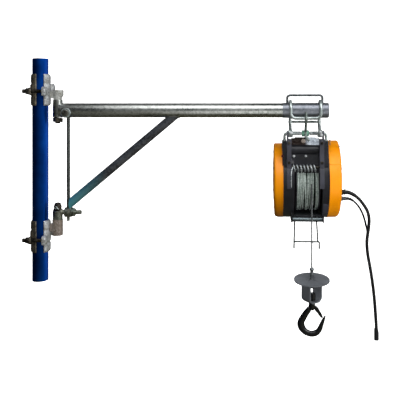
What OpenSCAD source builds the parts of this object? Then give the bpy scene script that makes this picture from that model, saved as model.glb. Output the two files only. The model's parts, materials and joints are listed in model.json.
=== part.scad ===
// Scaffold-pole swing jib with an electric wire-rope hoist.
// Origin: centre of the pole's bottom face. +Z up, +X along the arm, the hoist's drum lies behind at +Y.
// Pieces: pole with two clamp couplers, swing frame, hanging bail, hoist, hook block, hook and two leads.

/* [Pole and couplers] */
// Outside diameter of the scaffold pole
pole_d = 48.3; // [42:0.1:50]
// Wall of the pole
pole_wall = 4; // [2:0.1:6]
// Length of the pole
pole_len = 694; // [690:1:900]
// Height of the lower coupler's middle
lower_coupler_z = 139; // [110:1:150]
// Height of the upper coupler's middle above the arm's axis
upper_coupler_rise = 64; // [60:1:90]
// Height of each coupler
coupler_h = 98; // [80:1:100]
// Wall of the coupler's saddle round the pole
saddle_wall = 7; // [5:0.5:8]
// Thread diameter of the coupler's bolts
coupler_bolt_d = 12; // [10:0.5:14]
// How far the front bolt sits below the rear one
bolt_stagger = 16; // [0:1:24]

/* [Swing pivots] */
// Distance of the swing axis from the pole's axis
swing_x = 55; // [53:0.5:60]
// Diameter of the upper pivot pin
upper_pin_d = 16; // [12:0.5:18]
// Diameter of the lower pivot pin
lower_pin_d = 20; // [16:0.5:22]
// Height of the lower pivot's seat
pivot_seat_z = 190; // [185:1:200]
// Length of the lower pivot's socket
socket_len = 49; // [40:1:60]

/* [Swing frame] */
// Height of the arm's axis
arm_z = 532; // [500:1:545]
// Outside diameter of the arm
arm_d = 44.5; // [40:0.5:46]
// Wall of the arm
arm_wall = 3; // [2:0.1:5]
// Reach of the arm from the pole's axis to the end of its sleeve
arm_reach = 901; // [901:1:1100]
// Length of the end sleeve
sleeve_len = 142; // [138:1:200]
// Wall of the end sleeve
sleeve_wall = 1; // [0.6:0.1:3]
// Diameter of the upright tie rod
tie_d = 10.5; // [8:0.5:14]
// Distance of the tie rod from the pole's axis
tie_x = 89; // [86:0.5:94]
// Height of the lower eye bolt
eye_bolt_z = 213; // [210:1:220]
// Thread diameter of the lower eye bolt
eye_bolt_d = 14; // [10:0.5:16]
// Diameter of the brace
brace_d = 26.9; // [20:0.1:32]
// Where the brace's axis meets the underside of the arm
brace_top_x = 417; // [360:1:600]

/* [Bail] */
// Distance from the hoist's middle to the end of the arm
hoist_inset = 72; // [68:1:78]
// Distance between the bail's two hooks
bail_span = 91; // [86:1:94]
// Diameter of the bail's rod
bail_rod = 10; // [8:0.5:11]
// Drop from the arm's axis to the suspension shaft
shaft_drop = 71; // [70:1:80]
// Diameter of the suspension shaft
shaft_d = 8; // [6:0.5:10]
// Rise of the carrying handle above the arm's axis
handle_rise = 47; // [42:1:70]
// Diameter of the carrying handle's rod
handle_rod = 8; // [6:0.5:9]

/* [Hoist] */
// Drop from the suspension shaft to the drum's axis
drum_drop = 156; // [154:1:170]
// Radius of the rope winding
winding_r = 95; // [80:1:96]
// Diameter of the wire rope
rope_d = 5; // [3:0.5:6]
// Radius of the two black casings
casing_r = 119; // [114:1:120]
// How far the left end cover stands proud of its casing
left_cover_lip = 1.5; // [0.2:0.1:4]
// How far the right end cover stands proud of its casing
right_cover_lip = 6.5; // [0.2:0.1:7]
// Depth of the left end cover
left_cover_t = 32; // [22:1:40]
// Depth of the right end cover
right_cover_t = 41; // [36:1:60]
// Sideways place of the rope from the hoist's middle
rope_off = 20; // [10:1:25]
// Diameter of the rope-guide spring
guide_d = 21; // [18:0.5:22]
// Number of turns of the rope-guide spring
guide_turns = 7; // [5:1:9]

/* [Hook block] */
// Height of the limit disc's underside at rest
disc_z = 8; // [0:1:12]
// Diameter of the limit disc
disc_d = 110; // [108:1:120]
// Thickness of the limit disc
disc_t = 4; // [3:0.5:6]
// Height of the swivel bracket
bracket_h = 66; // [58:1:80]
// Turn of the swivel bracket about the rope
bracket_turn = 38; // [0:1:60]
// Inner radius of the hook's bowl
hook_bowl_r = 21; // [16:0.5:22]
// Thickness of the hook's bowl
hook_bar = 19; // [14:0.5:20]

/* [Hidden] */
$fn = 48;

fit = 0.05;            // radial running clearance at pins and shafts
seat = 0.3;            // gap between faces that slide on each other
hair = 0.05;           // gap between pieces of one body that lie side by side
play = 5;              // room that moving pieces keep from the rest
over = 1;              // how far a cutter runs past what it cuts
bead = 0.1;            // a straight run of bent rod is this much thicker than its bends

pole_r = pole_d / 2;
saddle_r = pole_r + saddle_wall;
upper_coupler_z = arm_z + upper_coupler_rise;
bolt_y = pole_r + coupler_bolt_d / 2 + 4.5;
hub_r = 15;
hub_top = arm_z + 33;
hub_bottom = arm_z - 21;
arm_r = arm_d / 2;
sleeve_r = arm_r + sleeve_wall;
sleeve_x = arm_reach - sleeve_len;
sleeve_cap = 4;
collar_r = 15;
collar_w = 19;
eye_sleeve_top = eye_bolt_z + 5;
hoist_x = arm_reach - hoist_inset;
hook_r = sleeve_r + bail_rod / 2 + seat;
shaft_z = arm_z - shaft_drop;
drum_z = shaft_z - drum_drop;
drum_y = winding_r + rope_d / 2;
rope_x = hoist_x + rope_off;
left_cover_r = casing_r + left_cover_lip;
right_cover_r = casing_r + right_cover_lip;
strap_gap = 86;        // clear width between the two hanger straps
strap_w = 14;          // width of a hanger strap
strap_left = hoist_x - strap_gap / 2 - strap_w;
strap_right = hoist_x + strap_gap / 2;
ear_t = 5;             // thickness of the straps' ears beside the bail's eyes
eye_r = 12;            // radius of the bail's eyes
leg_room = 13.5;         // width of the casings' shoulders under the shaft's legs
strap_front = -14;     // front face of the hanger straps
strap_back = 8;        // rear face of the hanger straps
casing_in = 43;        // inner faces of the casings from the hoist's middle, before the offset
well_off = 9;          // the rope well lies this far right of the hoist's middle
well_x = hoist_x + well_off;
left_face = well_x - casing_in;
right_face = well_x + casing_in;
left_casing_t = 34;
right_cover_rise = 6.5;          // the right cover's centre lies this far above the drum's
right_casing_t = 21;
left_cover_x = left_face - left_casing_t;
right_cover_x = right_face + right_casing_t;
flange_t = 4;
flange_r = winding_r + 4;
axle_r = 15;
axle_seat = 15;
guide_y = -6;
guide_z = drum_z + 52;
guide_rod_d = 8;
spacer_y = 16;
spacer_r = 15;
spacer_off = casing_r + spacer_r + seat;   // from the drum's axis to the spacer's
spacer_z = drum_z + sqrt(spacer_off * spacer_off - (drum_y - spacer_y) * (drum_y - spacer_y));
bracket_top = drum_z - 100;
bracket_bottom = drum_z - 119;
bracket_w = 101;       // width of the bottom bracket
cheek_t = 4;
roller_d = 9;
roller_y = 8;
roller_z = drum_z - 110;
lever_y = 17;
lever_wire = 4.5;
lever_bottom = 105;
lever_cross = 127;
lever_top = roller_z + 8;
ferrule_top = disc_z + disc_t + 35;
bracket_base = disc_z - bracket_h;
hook_z = bracket_base - 68;      // centre of the hook's bowl
hook_ring = hook_bowl_r + hook_bar / 2;
latch_pin = [16, 44];             // the latch's pivot from the bowl's centre
gland_y = 60;
gland_len = 19;                  // how far a gland stands out of the right cover
gland_mouth = right_cover_x + right_cover_t + gland_len;
supply_z = drum_z - 34;
control_z = drum_z - 54;
supply_d = 10.5;
control_d = 6.5;
lead_sides = 8;
// The leads' routes, from the mouth of each gland.
supply_route = [
    [0, 0, 0], [6, 0, 0], [20, -1, -5], [34, -2, -14], [46, -2.5, -26], [56, -3, -39],
    [64.6, -4, -53], [70, -5, -67], [72.3, -6, -82], [72.1, -6.5, -97], [70.3, -7.5, -113],
    [67.6, -8.5, -130], [65.4, -9.5, -147], [64.8, -10, -164], [67.2, -11, -194],
    [73.8, -12, -232], [80.5, -13, -274], [86, -13.5, -320], [90, -14, -367],
    [92.4, -14, -404], [93.4, -14, -420], [93.8, -14, -430]
];
control_route = [
    [0, 0, 0], [6, 0, 0], [13, 0, -1.5], [22.5, 0, -6.5], [32, 0, -14.8], [40.5, 0, -25.3],
    [47.8, 0, -37], [54, 0, -50.6], [59, 0, -66], [63, 0.5, -82], [66.6, 1.2, -96],
    [68.6, 2, -111], [67.6, 2.6, -127], [67, 3, -144], [69.4, 3, -174], [76, 3, -212],
    [82.8, 3, -254], [88.4, 3, -300], [92.5, 3, -347], [94.9, 3, -386], [95.6, 3, -400],
    [95.8, 3, -406]
];

// A cylinder whose axis lies along X, starting at x.
module along_x(x, len, r) {
    translate([x, 0, 0]) rotate([0, 90, 0]) cylinder(r = r, h = len);
}

// A cylinder whose axis lies along Y, centred.
module along_y(len, r) {
    rotate([90, 0, 0]) cylinder(r = r, h = len, center = true);
}

// A hexagonal nut or bolt head, by its width across flats, its axis along Z.
module hexagon(flats, h) {
    cylinder(d = flats / cos(30), h = h, $fn = 6);
}

// A straight round bar between two points.
module bar(a, b, r1, r2 = undef) {
    v = b - a;
    len = norm(v);
    translate(a)
        rotate([0, acos(v[2] / len), atan2(v[1], v[0])])
            cylinder(r1 = r1, r2 = is_undef(r2) ? r1 : r2, h = len);
}

// A round bar bent through a list of points.
module bent_bar(points, r) {
    for (i = [0:len(points) - 2]) bar(points[i], points[i + 1], r);
    for (i = [1:len(points) - 2]) translate(points[i]) sphere(r = r + bead);
}

// A sharp-edged tube swept along a list of points, with a flat cut at each end.
module swept_tube(points, r, sides, level = [0, 1, 0]) {
    n = len(points);
    dirs = [for (i = [0:n - 1])
        let (a = points[max(0, i - 1)], b = points[min(n - 1, i + 1)]) (b - a) / norm(b - a)];
    rings = [for (i = [0:n - 1])
        let (side = cross(dirs[i], level), s = side / norm(side), t = cross(s, dirs[i]))
            [for (k = [0:sides - 1])
                points[i] + r * cos(360 * k / sides) * s + r * sin(360 * k / sides) * t]];
    polyhedron(
        points = [for (ring = rings) for (p = ring) p],
        faces = concat(
            [[for (k = [0:sides - 1]) k]],
            [for (i = [0:n - 2]) for (k = [0:sides - 1])
                let (a = i * sides + k, b = i * sides + (k + 1) % sides) [a, a + sides, b + sides, b]],
            [[for (k = [sides - 1:-1:0]) (n - 1) * sides + k]]
        )
    );
}

module pole() {
    color("#0b4aa2") difference() {
        cylinder(d = pole_d, h = pole_len);
        translate([0, 0, -over]) cylinder(d = pole_d - 2 * pole_wall, h = pole_len + 2 * over);
    }
}

// Half of a coupler: a forged shell with stepped ribs and an ear at each end.
module coupler_shell(wall, from, sweep, ear_x, ear_depth, ear_in) {
    r = pole_r + hair;
    h = coupler_h / 2;
    ear_h = 30;
    difference() {
        union() {
            rotate([0, 0, from]) rotate_extrude(angle = sweep) polygon([
                [r, -h], [r + wall - 2.5, -h], [r + wall, -h + 8], [r + wall, -h + 22],
                [r + wall + 2, -h + 25], [r + wall + 2, h - 25], [r + wall, h - 22],
                [r + wall, h - 8], [r + wall - 2.5, h], [r, h]
            ]);
            for (side = [-1, 1])
                translate([ear_x, side > 0 ? ear_in : -bolt_y - 9, side * bolt_stagger / 2 - ear_h / 2])
                    cube([ear_depth, bolt_y + 9 - ear_in, ear_h]);
        }
        translate([0, 0, -h - over]) cylinder(r = r, h = coupler_h + 2 * over);
        for (side = [-1, 1])
            translate([0, side * bolt_y, side * bolt_stagger / 2])
                along_x(-60, 120, coupler_bolt_d / 2 + 0.5);
    }
}

module coupler_bolts() {
    for (side = [-1, 1]) translate([0, side * bolt_y, side * bolt_stagger / 2]) {
        along_x(-42, 72, coupler_bolt_d / 2);
        translate([-34, 0, 0]) rotate([0, 90, 0]) hexagon(19, 10 - hair);
        translate([28 + hair, 0, 0]) rotate([0, 90, 0]) hexagon(19, 6);
    }
}

module upper_coupler_saddle() {
    color("#9a9c98") translate([0, 0, upper_coupler_z]) coupler_shell(saddle_wall, -46, 92, 15, 13, 16);
}

module upper_coupler_flap() {
    color("#4d4a45") translate([0, 0, upper_coupler_z]) coupler_shell(5, 96, 168, -24, 9, 20);
}

module upper_coupler_bolts() {
    color("#6a665f") translate([0, 0, upper_coupler_z]) coupler_bolts();
}

module lower_coupler_saddle() {
    color("#9a9c98") translate([0, 0, lower_coupler_z]) coupler_shell(saddle_wall, -46, 92, 15, 13, 16);
}

module lower_coupler_flap() {
    color("#4d4a45") translate([0, 0, lower_coupler_z]) coupler_shell(5, 96, 168, -24, 9, 20);
}

module lower_coupler_bolts() {
    color("#6a665f") translate([0, 0, lower_coupler_z]) coupler_bolts();
}

// The lug that holds the upper pin: a forged eye joined to the saddle by a neck.
module upper_pivot_bracket() {
    bottom = hub_top + seat;
    color("#8d8f8b") difference() {
        translate([0, 0, bottom]) union() {
            translate([swing_x, 0, 0]) cylinder(r = 13, h = 32);
            translate([swing_x + 9, 0, 10]) cylinder(r = 12.5, h = 22);
            translate([pole_r, -7, 6]) cube([swing_x - pole_r, 14, 22]);
        }
        translate([0, 0, bottom - over]) cylinder(r = saddle_r + 2 + 2 * hair, h = 40);
        translate([swing_x, 0, bottom - over]) cylinder(d = upper_pin_d + 2 * hair, h = 28);
    }
}

module upper_pivot_pin() {
    nut_top = hub_bottom - seat;
    nut_h = 16;
    color("#b9bcbe") translate([swing_x, 0, 0]) {
        translate([0, 0, nut_top - nut_h - 3]) cylinder(d = upper_pin_d, h = hub_top + 26 - nut_top + nut_h);
        translate([0, 0, nut_top - nut_h]) hexagon(24, nut_h);
    }
}

module lower_pivot_socket() {
    bottom = pivot_seat_z - socket_len;
    color("#86827c") difference() {
        union() {
            translate([swing_x, 0, bottom]) cylinder(r = 16, h = socket_len);
            translate([pole_r, -6, bottom + 12]) cube([swing_x - pole_r, 12, 24]);
        }
        translate([0, 0, bottom - over]) cylinder(r = saddle_r + 2 + 2 * hair, h = socket_len + 2 * over);
        translate([swing_x, 0, bottom + 8]) cylinder(d = lower_pin_d + 2 * hair, h = socket_len);
    }
}

// The lower pin with its domed top and the split pin that keeps the eye on it.
module lower_pivot_pin() {
    bottom = pivot_seat_z - socket_len + 8;
    top = eye_sleeve_top + 20;
    color("#77736c") difference() {
        translate([swing_x, 0, 0]) {
            translate([0, 0, bottom]) cylinder(d = lower_pin_d, h = top - bottom);
            translate([0, 0, top]) intersection() {
                sphere(d = lower_pin_d);
                cylinder(d = lower_pin_d, h = 5);
            }
            translate([0, 0, eye_sleeve_top + 9]) along_y(lower_pin_d + 12, 2);
        }
    }
}

module arm_hub() {
    color("#a9adae") difference() {
        translate([swing_x, 0, hub_bottom]) cylinder(r = hub_r, h = hub_top - hub_bottom);
        translate([swing_x, 0, hub_bottom - over])
            cylinder(d = upper_pin_d + 2 * fit, h = hub_top - hub_bottom + 2 * over);
    }
}

module arm_tube() {
    start = swing_x + 8;
    color("#b4b7b8") difference() {
        translate([0, 0, arm_z]) difference() {
            along_x(start, arm_reach - sleeve_cap - start, arm_r);
            along_x(swing_x + hub_r + 4, arm_reach, arm_r - arm_wall);
        }
        translate([swing_x, 0, 0]) cylinder(r = hub_r + hair, h = pole_len);
        translate([tie_x, 0, arm_z - arm_r - over]) cylinder(d = tie_d + 2 * hair, h = arm_r);
        translate([tie_x, 0, arm_z - 8]) along_y(arm_d + 2 * over, 6 + hair);
        translate([tie_x, 0, arm_z - 8]) along_y(tie_d + 2 * hair, 12 + hair);
    }
}

module end_sleeve() {
    round = 3;
    color("#3d4044") translate([0, 0, arm_z]) difference() {
        translate([sleeve_x, 0, 0]) rotate([0, 90, 0]) rotate_extrude() polygon(concat(
            [[0, 0], [sleeve_r, 0]],
            [for (a = [0:15:90])
                [sleeve_r - round + round * cos(a), sleeve_len - round + round * sin(a)]],
            [[0, sleeve_len]]
        ));
        along_x(sleeve_x - over, sleeve_len - sleeve_cap + over, arm_r + hair);
    }
}

// The upright rod: its flattened eye sits inside the arm on a cross bolt, its foot on the collar.
module tie_rod() {
    eye_z = arm_z - 8;
    color("#8f9396") difference() {
        union() {
            translate([tie_x, 0, eye_bolt_z]) cylinder(d = tie_d, h = eye_z - 6 - eye_bolt_z);
            translate([tie_x, 0, eye_z]) along_y(tie_d, 12);
        }
        translate([tie_x, 0, eye_z]) along_y(tie_d + 2 * over, 6 + hair);
        translate([0, 0, eye_bolt_z]) along_x(0, 2 * tie_x, collar_r + hair);
    }
}

module tie_rod_bolt() {
    washer_y = arm_r + hair;
    color("#c9cccd") translate([tie_x, 0, arm_z - 8]) {
        along_y(2 * washer_y + 20, 6);
        for (side = [-1, 1]) {
            translate([0, side * (washer_y + 1.25), 0]) along_y(2.5, 15);
            translate([0, side * (washer_y + 2.5), 0]) rotate([-side * 90, 0, 0]) hexagon(19, 8);
        }
    }
}

module brace_tube() {
    low = [tie_x, 0, eye_bolt_z + 23];
    high = [brace_top_x, 0, arm_z - arm_r];
    v = high - low;
    slope = atan2(v[2], v[0]);
    color("#7f8486") difference() {
        translate(low) rotate([0, 90 - slope, 0]) difference() {
            translate([0, 0, -30]) cylinder(d = brace_d, h = norm(v) + 60);
            translate([0, 0, -30 - over]) cylinder(d = brace_d - 5, h = norm(v) + 62);
        }
        translate([0, 0, arm_z]) along_x(0, 2 * brace_top_x, arm_r + hair);
        translate([0, -50, arm_z]) cube([2 * brace_top_x, 100, 100]);
        translate([0, -50, 0]) cube([tie_x + tie_d / 2 + hair, 100, arm_z]);
        translate([0, 0, eye_bolt_z]) along_x(0, 2 * tie_x, collar_r + hair);
    }
}

module brace_collar() {
    color("#7b7d72") difference() {
        translate([0, 0, eye_bolt_z]) union() {
            along_x(tie_x - collar_w / 2, collar_w, collar_r);
            translate([tie_x, 0, -27]) cylinder(d = 9, h = 20);
        }
        translate([0, 0, eye_bolt_z]) along_x(0, 2 * tie_x, eye_bolt_d / 2 + hair);
    }
}

module lower_eye_bolt() {
    nut_x = tie_x + collar_w / 2 + hair;
    color("#77756d") difference() {
        union() {
            translate([swing_x, 0, pivot_seat_z + seat])
                cylinder(r = 15, h = eye_sleeve_top - pivot_seat_z - seat);
            translate([0, 0, eye_bolt_z]) {
                along_x(swing_x, 130 - swing_x, eye_bolt_d / 2);
                translate([nut_x, 0, 0]) rotate([0, 90, 0]) hexagon(24, 12);
            }
        }
        translate([swing_x, 0, pivot_seat_z - over]) cylinder(d = lower_pin_d + 2 * fit, h = 100);
    }
}

// One hook of the bail: over the sleeve from the front, down behind it to an eye on the shaft.
module bail_leg(x) {
    r = bail_rod / 2;
    knee = arm_z - 47;
    translate([x, hook_r, knee]) cylinder(r = r + bead, h = arm_z - knee + 0.5);
    bar([x, hook_r, knee], [x, 9, shaft_z + 4], r);
    translate([x, hook_r, knee]) sphere(r = r + bead);
    translate([x, 0, shaft_z]) rotate([0, 90, 0]) cylinder(r = eye_r, h = 12, center = true);
}

module bail_hoop(x) {
    translate([x, 0, arm_z]) rotate([0, -90, 0]) rotate([0, 0, -90])
        rotate_extrude(angle = 180) translate([hook_r, 0]) circle(r = bail_rod / 2);
}

// round rod bent to an upright arch: two legs, rounded corners and a top bar
module arch(half, corner, legs, r) {
    for (side = [0, 1]) mirror([side, 0, 0]) {
        translate([half, 0, -legs - 0.5]) cylinder(r = r + bead, h = legs + 1);
        translate([half - corner, 0, 0]) rotate([90, 0, 0])
            rotate_extrude(angle = 90) translate([corner, 0]) circle(r = r);
    }
    translate([corner - half, 0, corner]) rotate([0, 90, 0])
        cylinder(r = r, h = 2 * (half - corner));
}

module bail() {
    corner = 18;
    drop = 24;
    half = bail_span / 2;
    color("#9fa3a5") difference() {
        union() {
            translate([hoist_x, -hook_r, arm_z - drop + corner]) mirror([0, 0, 1])
                arch(half, corner, drop - corner, bail_rod / 2);
            for (side = [-1, 1]) bail_hoop(hoist_x + side * half);
            for (side = [-1, 1]) bail_leg(hoist_x + side * half);
            translate([0, hook_r, arm_z - 36]) along_x(hoist_x - half, 2 * half, 4);
        }
        translate([0, 0, shaft_z]) along_x(hoist_x - 80, 160, shaft_d / 2 + fit);
    }
}

module carry_handle() {
    r = handle_rod / 2;
    half = bail_span / 2 + bail_rod / 2 + r + bead + hair;
    corner = 10;
    y = hook_r * sin(45);
    foot = arm_z + sqrt(sleeve_r * sleeve_r - (y - r - bead) * (y - r - bead)) + seat;
    rise = arm_z + handle_rise - corner;
    color("#5c6064") translate([hoist_x, y, rise])
        arch(half, corner, rise - foot - 0.5, r);
}

// The spring-loaded keeper that closes the gap under the bail's front bar.
module keeper_lever() {
    hub_w = 22;
    rod = 4;
    front = -(hook_r + bail_rod / 2 + rod + 0.5);
    color("#8b9a97") difference() {
        union() {
            translate([0, 0, shaft_z]) along_x(hoist_x - hub_w / 2, hub_w, 10);
            bent_bar([
                [hoist_x, front, arm_z - 6], [hoist_x, front, arm_z - 28],
                [hoist_x, -7, shaft_z + 1]
            ], rod);
            bent_bar([
                [hoist_x, -8, shaft_z - 1], [hoist_x, -13, shaft_z - 11], [hoist_x + 11, -18, shaft_z - 24]
            ], rod);
        }
        translate([0, 0, shaft_z]) along_x(hoist_x - 80, 160, shaft_d / 2 + fit);
    }
}

// The shaft's two ends are bent down and stand on the casings' shoulders.
module suspension_shaft() {
    half = 64;
    leg_z = shaft_z - 24;
    r = shaft_d / 2;
    color("#a4a8aa") {
        bent_bar([
            [hoist_x - half, 0, leg_z], [hoist_x - half, 0, shaft_z],
            [hoist_x + half, 0, shaft_z], [hoist_x + half, 0, leg_z]
        ], r);
    }
}

// Cuts what lies inside the casings' round.
module casing_round() {
    translate([0, drum_y, drum_z]) along_x(hoist_x - 200, 400, casing_r + hair);
}

module strap(x, ear_x) {
    low = drum_z - 12;
    top = shaft_z - eye_r - play;
    difference() {
        union() {
            translate([x, strap_front, low + 40]) cube([strap_w, strap_back - strap_front, top - low - 40]);
            translate([ear_x, strap_front + 3, top - over])
                cube([ear_t, strap_back - strap_front - 6, shaft_z - top + over]);
            translate([0, (strap_front + strap_back) / 2, shaft_z]) along_x(ear_x, ear_t, 8);
            intersection() {
                translate([0, drum_y, drum_z]) along_x(x, strap_w, casing_r + 4);
                translate([x - over, strap_front - 12, low]) cube([strap_w + 2 * over, 30, 60]);
            }
        }
        casing_round();
        translate([0, 0, shaft_z]) along_x(x - over, strap_w + 2 * over, shaft_d / 2 + hair);
        translate([0, guide_y, guide_z]) along_x(x - over, strap_w + 2 * over, guide_rod_d / 2 + hair);
    }
}

module hanger_straps() {
    color("#2b2d30") {
        strap(strap_left, strap_left);
        strap(strap_right, strap_right + strap_w - ear_t);
    }
}

module top_plate() {
    color("#a7b2b8") difference() {
        translate([hoist_x - strap_gap / 2 + hair, strap_back - 5, shaft_z - 36])
            cube([strap_gap - 2 * hair, 5, 24]);
        translate([hoist_x - 6, strap_back, shaft_z - 24]) along_y(20, 5);
        for (x = [hoist_x - strap_gap / 2 - over, hoist_x + strap_gap / 2 - 10])
            translate([0, 0, shaft_z]) along_x(x, 10 + over, eye_r + play);
    }
}

module spacer_tube() {
    color("#26282b") translate([0, spacer_y, spacer_z])
        along_x(hoist_x - strap_gap / 2 + hair, strap_gap - 2 * hair, spacer_r);
}

// A casing: a thick black disc with a shoulder for the shaft's leg, a seat for the drum's axle and
// a relief for the guide rod.
module casing(x, depth, leg_x, leg_w, axle_x, cover_x, round) {
    difference() {
        union() {
            translate([0, drum_y, drum_z]) along_x(x, depth, casing_r);
            difference() {
                translate([leg_x, -9, drum_z]) cube([leg_w, 60, shaft_z - 24 - hair - drum_z]);
                translate([0, drum_y, drum_z]) along_x(cover_x, right_cover_t, round + 2 * hair);
            }
        }
        translate([0, drum_y, drum_z]) along_x(axle_x, axle_seat + fit, axle_r + fit);
        translate([0, guide_y, guide_z]) along_x(x - over, depth + 2 * over, guide_rod_d / 2 + hair);
    }
}

module left_casing() {
    inner = strap_left - hair - leg_room;
    color("#212327") difference() {
        casing(left_cover_x, left_casing_t, inner, leg_room, left_face - axle_seat,
            left_cover_x - right_cover_t, left_cover_r);
        translate([0, guide_y, guide_z]) along_x(strap_left + strap_w, 40, guide_d / 2 + 1);
    }
}

module right_casing() {
    color("#212327") casing(right_face, right_casing_t, strap_right + strap_w + hair, leg_room,
        right_face - fit, right_cover_x, right_cover_r);
}

// A pressed end cover: flat where it meets the casing, with a broad round shoulder.
module cover(r, depth, round) {
    rotate_extrude($fn = 72) polygon(concat(
        [[0, 0], [r, 0], [r, depth - round]],
        [for (a = [15:15:90]) [r - round + round * cos(a), depth - round + round * sin(a)]],
        [[0, depth]]
    ));
}

module left_cover() {
    color("#e08a00") translate([left_cover_x - hair, drum_y, drum_z]) rotate([0, -90, 0])
        cover(left_cover_r, left_cover_t, 9);
}

module right_cover() {
    color("#ee9600") translate([right_cover_x + hair, drum_y, drum_z + right_cover_rise]) rotate([0, 90, 0])
        cover(right_cover_r, right_cover_t, 20);
}

module guide_rod() {
    color("#7d8183") translate([0, guide_y, guide_z])
        along_x(strap_left, strap_right + strap_w - strap_left, guide_rod_d / 2);
}

// The rope-guide spring: an open helix round the guide rod, from one hanger strap to near the other.
module guide_spring() {
    wire = 2.4;
    steps = 12;
    pitch = 11;
    start = strap_left + strap_w + wire + hair;
    color("#8e9392") swept_tube([
        for (i = [0:guide_turns * steps])
            [start + pitch * i / steps,
             guide_y + (guide_d / 2 - wire) * cos(360 * i / steps),
             guide_z + (guide_d / 2 - wire) * sin(360 * i / steps)]
    ], wire, 8, [1, 0, 0]);
}

module bottom_bracket() {
    x = well_x - bracket_w / 2 - 2;
    color("#1d1f21") difference() {
        union() {
            for (cheek_x = [x, x + bracket_w - cheek_t])
                translate([cheek_x, -4, bracket_bottom]) cube([cheek_t, 60, 60]);
            translate([x, 24, bracket_bottom]) cube([bracket_w, 4, bracket_top - bracket_bottom]);
            translate([x, lever_y - 6, bracket_bottom]) cube([bracket_w, 14, 3]);
        }
        casing_round();
        translate([x - over, -10, bracket_top]) cube([bracket_w + 2 * over, 30, 60]);
        translate([0, roller_y, roller_z]) along_x(x - over, bracket_w + 2 * over, roller_d / 2 - 1.5 + hair);
        for (wire_x = [hoist_x - 32, hoist_x + 36.5])
            translate([wire_x, lever_y, bracket_bottom - over]) cylinder(d = lever_wire + 3.5, h = 3 + 2 * over);
    }
}

module bottom_roller() {
    x = well_x - bracket_w / 2 - 2;
    color("#5f6668") translate([0, roller_y, roller_z]) {
        along_x(x, bracket_w, roller_d / 2 - 1.5);
        along_x(x + cheek_t + 1, bracket_w - 2 * cheek_t - 2, roller_d / 2);
    }
}

module cable_glands() {
    start = right_cover_x + right_cover_t + 2 * hair;
    color("#1b1c1e") translate([0, gland_y, 0]) {
        translate([0, 0, supply_z]) along_x(start, gland_mouth - start, 8);
        translate([0, 0, control_z]) along_x(start, gland_mouth - start, 6.5);
    }
}

module drum() {
    left = left_face + play;
    right = right_face - play;
    color("#2f3134") translate([0, drum_y, drum_z]) {
        along_x(left_face - axle_seat + seat, right_face - left_face + 2 * axle_seat - 2 * seat, axle_r);
        along_x(left, right - left, 60);
        along_x(left, flange_t, flange_r);
        along_x(right - flange_t, flange_t, flange_r);
    }
}

module rope_winding() {
    left = left_face + play + flange_t + hair;
    right = right_face - play - flange_t - hair;
    color("#7f8a86") translate([0, drum_y, drum_z]) difference() {
        along_x(left, right - left, winding_r - 2 * hair);
        along_x(left - over, right - left + 2 * over, 60 + hair);
    }
}

// The wire frame that the disc lifts at the top of the hook's travel.
module limit_lever() {
    r = lever_wire / 2;
    left = hoist_x - 32;
    right = hoist_x + 45;
    color("#77807d") {
        bar([left, lever_y, lever_bottom], [left, lever_y, lever_top], r);
        bent_bar([
            [right, lever_y, lever_bottom], [right, lever_y, lever_cross],
            [left, lever_y, lever_cross]
        ], r);
        bar([right - 4.5, lever_y, lever_cross], [hoist_x + 36.5, lever_y, lever_top], r);
    }
}

module wire_rope() {
    color("#8b9290") translate([rope_x, 0, ferrule_top + hair]) cylinder(d = rope_d, h = drum_z - ferrule_top - hair);
}

module rope_ferrule() {
    color("#44484a") translate([rope_x, 0, disc_z + disc_t + hair])
        cylinder(r = 6.5, h = ferrule_top - disc_z - disc_t - hair);
}

module limit_disc() {
    color("#35383c") translate([rope_x, 0, disc_z]) difference() {
        cylinder(d = disc_d, h = disc_t, $fn = 96);
        for (a = [45, 225]) rotate([0, 0, a]) translate([14, 0, -over]) cylinder(r = 3, h = disc_t + 2 * over);
    }
}

// A bent strap, open at two sides, with its lower corners cut back to the hook's shank.
module swivel_bracket() {
    w = 52;
    depth = 38;
    t = 5;
    cut = 12;
    color("#2a2c2f") translate([rope_x, 0, bracket_base]) rotate([0, 0, bracket_turn]) difference() {
        translate([0, depth / 2, 0]) rotate([90, 0, 0]) linear_extrude(depth) difference() {
            polygon([
                [-w / 2, bracket_h - hair], [-w / 2, cut], [-w / 2 + cut, 0],
                [w / 2 - cut, 0], [w / 2, cut], [w / 2, bracket_h - hair]
            ]);
            polygon([
                [-w / 2 + t, bracket_h - t], [-w / 2 + t, cut + t / 2], [-w / 2 + cut + t / 2, t],
                [w / 2 - cut - t / 2, t], [w / 2 - t, cut + t / 2], [w / 2 - t, bracket_h - t]
            ]);
        }
        translate([0, 0, -over]) cylinder(r = 7 + fit, h = t + 2 * over);
    }
}

module hook() {
    bar_r = hook_bar / 2;
    top = 56;
    start = 150;
    tip = 15;
    into = 2;
    color("#17181a") translate([rope_x, 0, hook_z]) {
        rotate([90, 0, 0]) rotate([0, 0, start]) rotate_extrude(angle = 360 + tip - start)
            translate([hook_ring, 0]) circle(r = bar_r);
        bar([hook_ring * cos(start + into), 0, hook_ring * sin(start + into)], [-7, 0, top - 6],
            bar_r - 0.3, 7.5);
        bar([hook_ring * cos(tip - into), 0, hook_ring * sin(tip - into)], [42, 0, 27],
            bar_r - 0.3, 2.5);
        translate([0, 0, top - 12]) cylinder(r = 10.5, h = 23.5);
        translate([0, 0, top]) cylinder(r = 7, h = 30);
        translate([0, 0, 68 + 5 + seat]) hexagon(19, 12);
    }
}

module hook_latch() {
    color("#232527") translate([rope_x, 0, hook_z]) difference() {
        union() {
            translate([latch_pin[0], 0, latch_pin[1]]) along_y(10, 4.5);
            bar([latch_pin[0], 0, latch_pin[1]], [31, 0, 22], 3.5, 3);
        }
        translate([latch_pin[0], 0, latch_pin[1]]) along_y(20, 2);
    }
}

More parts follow.
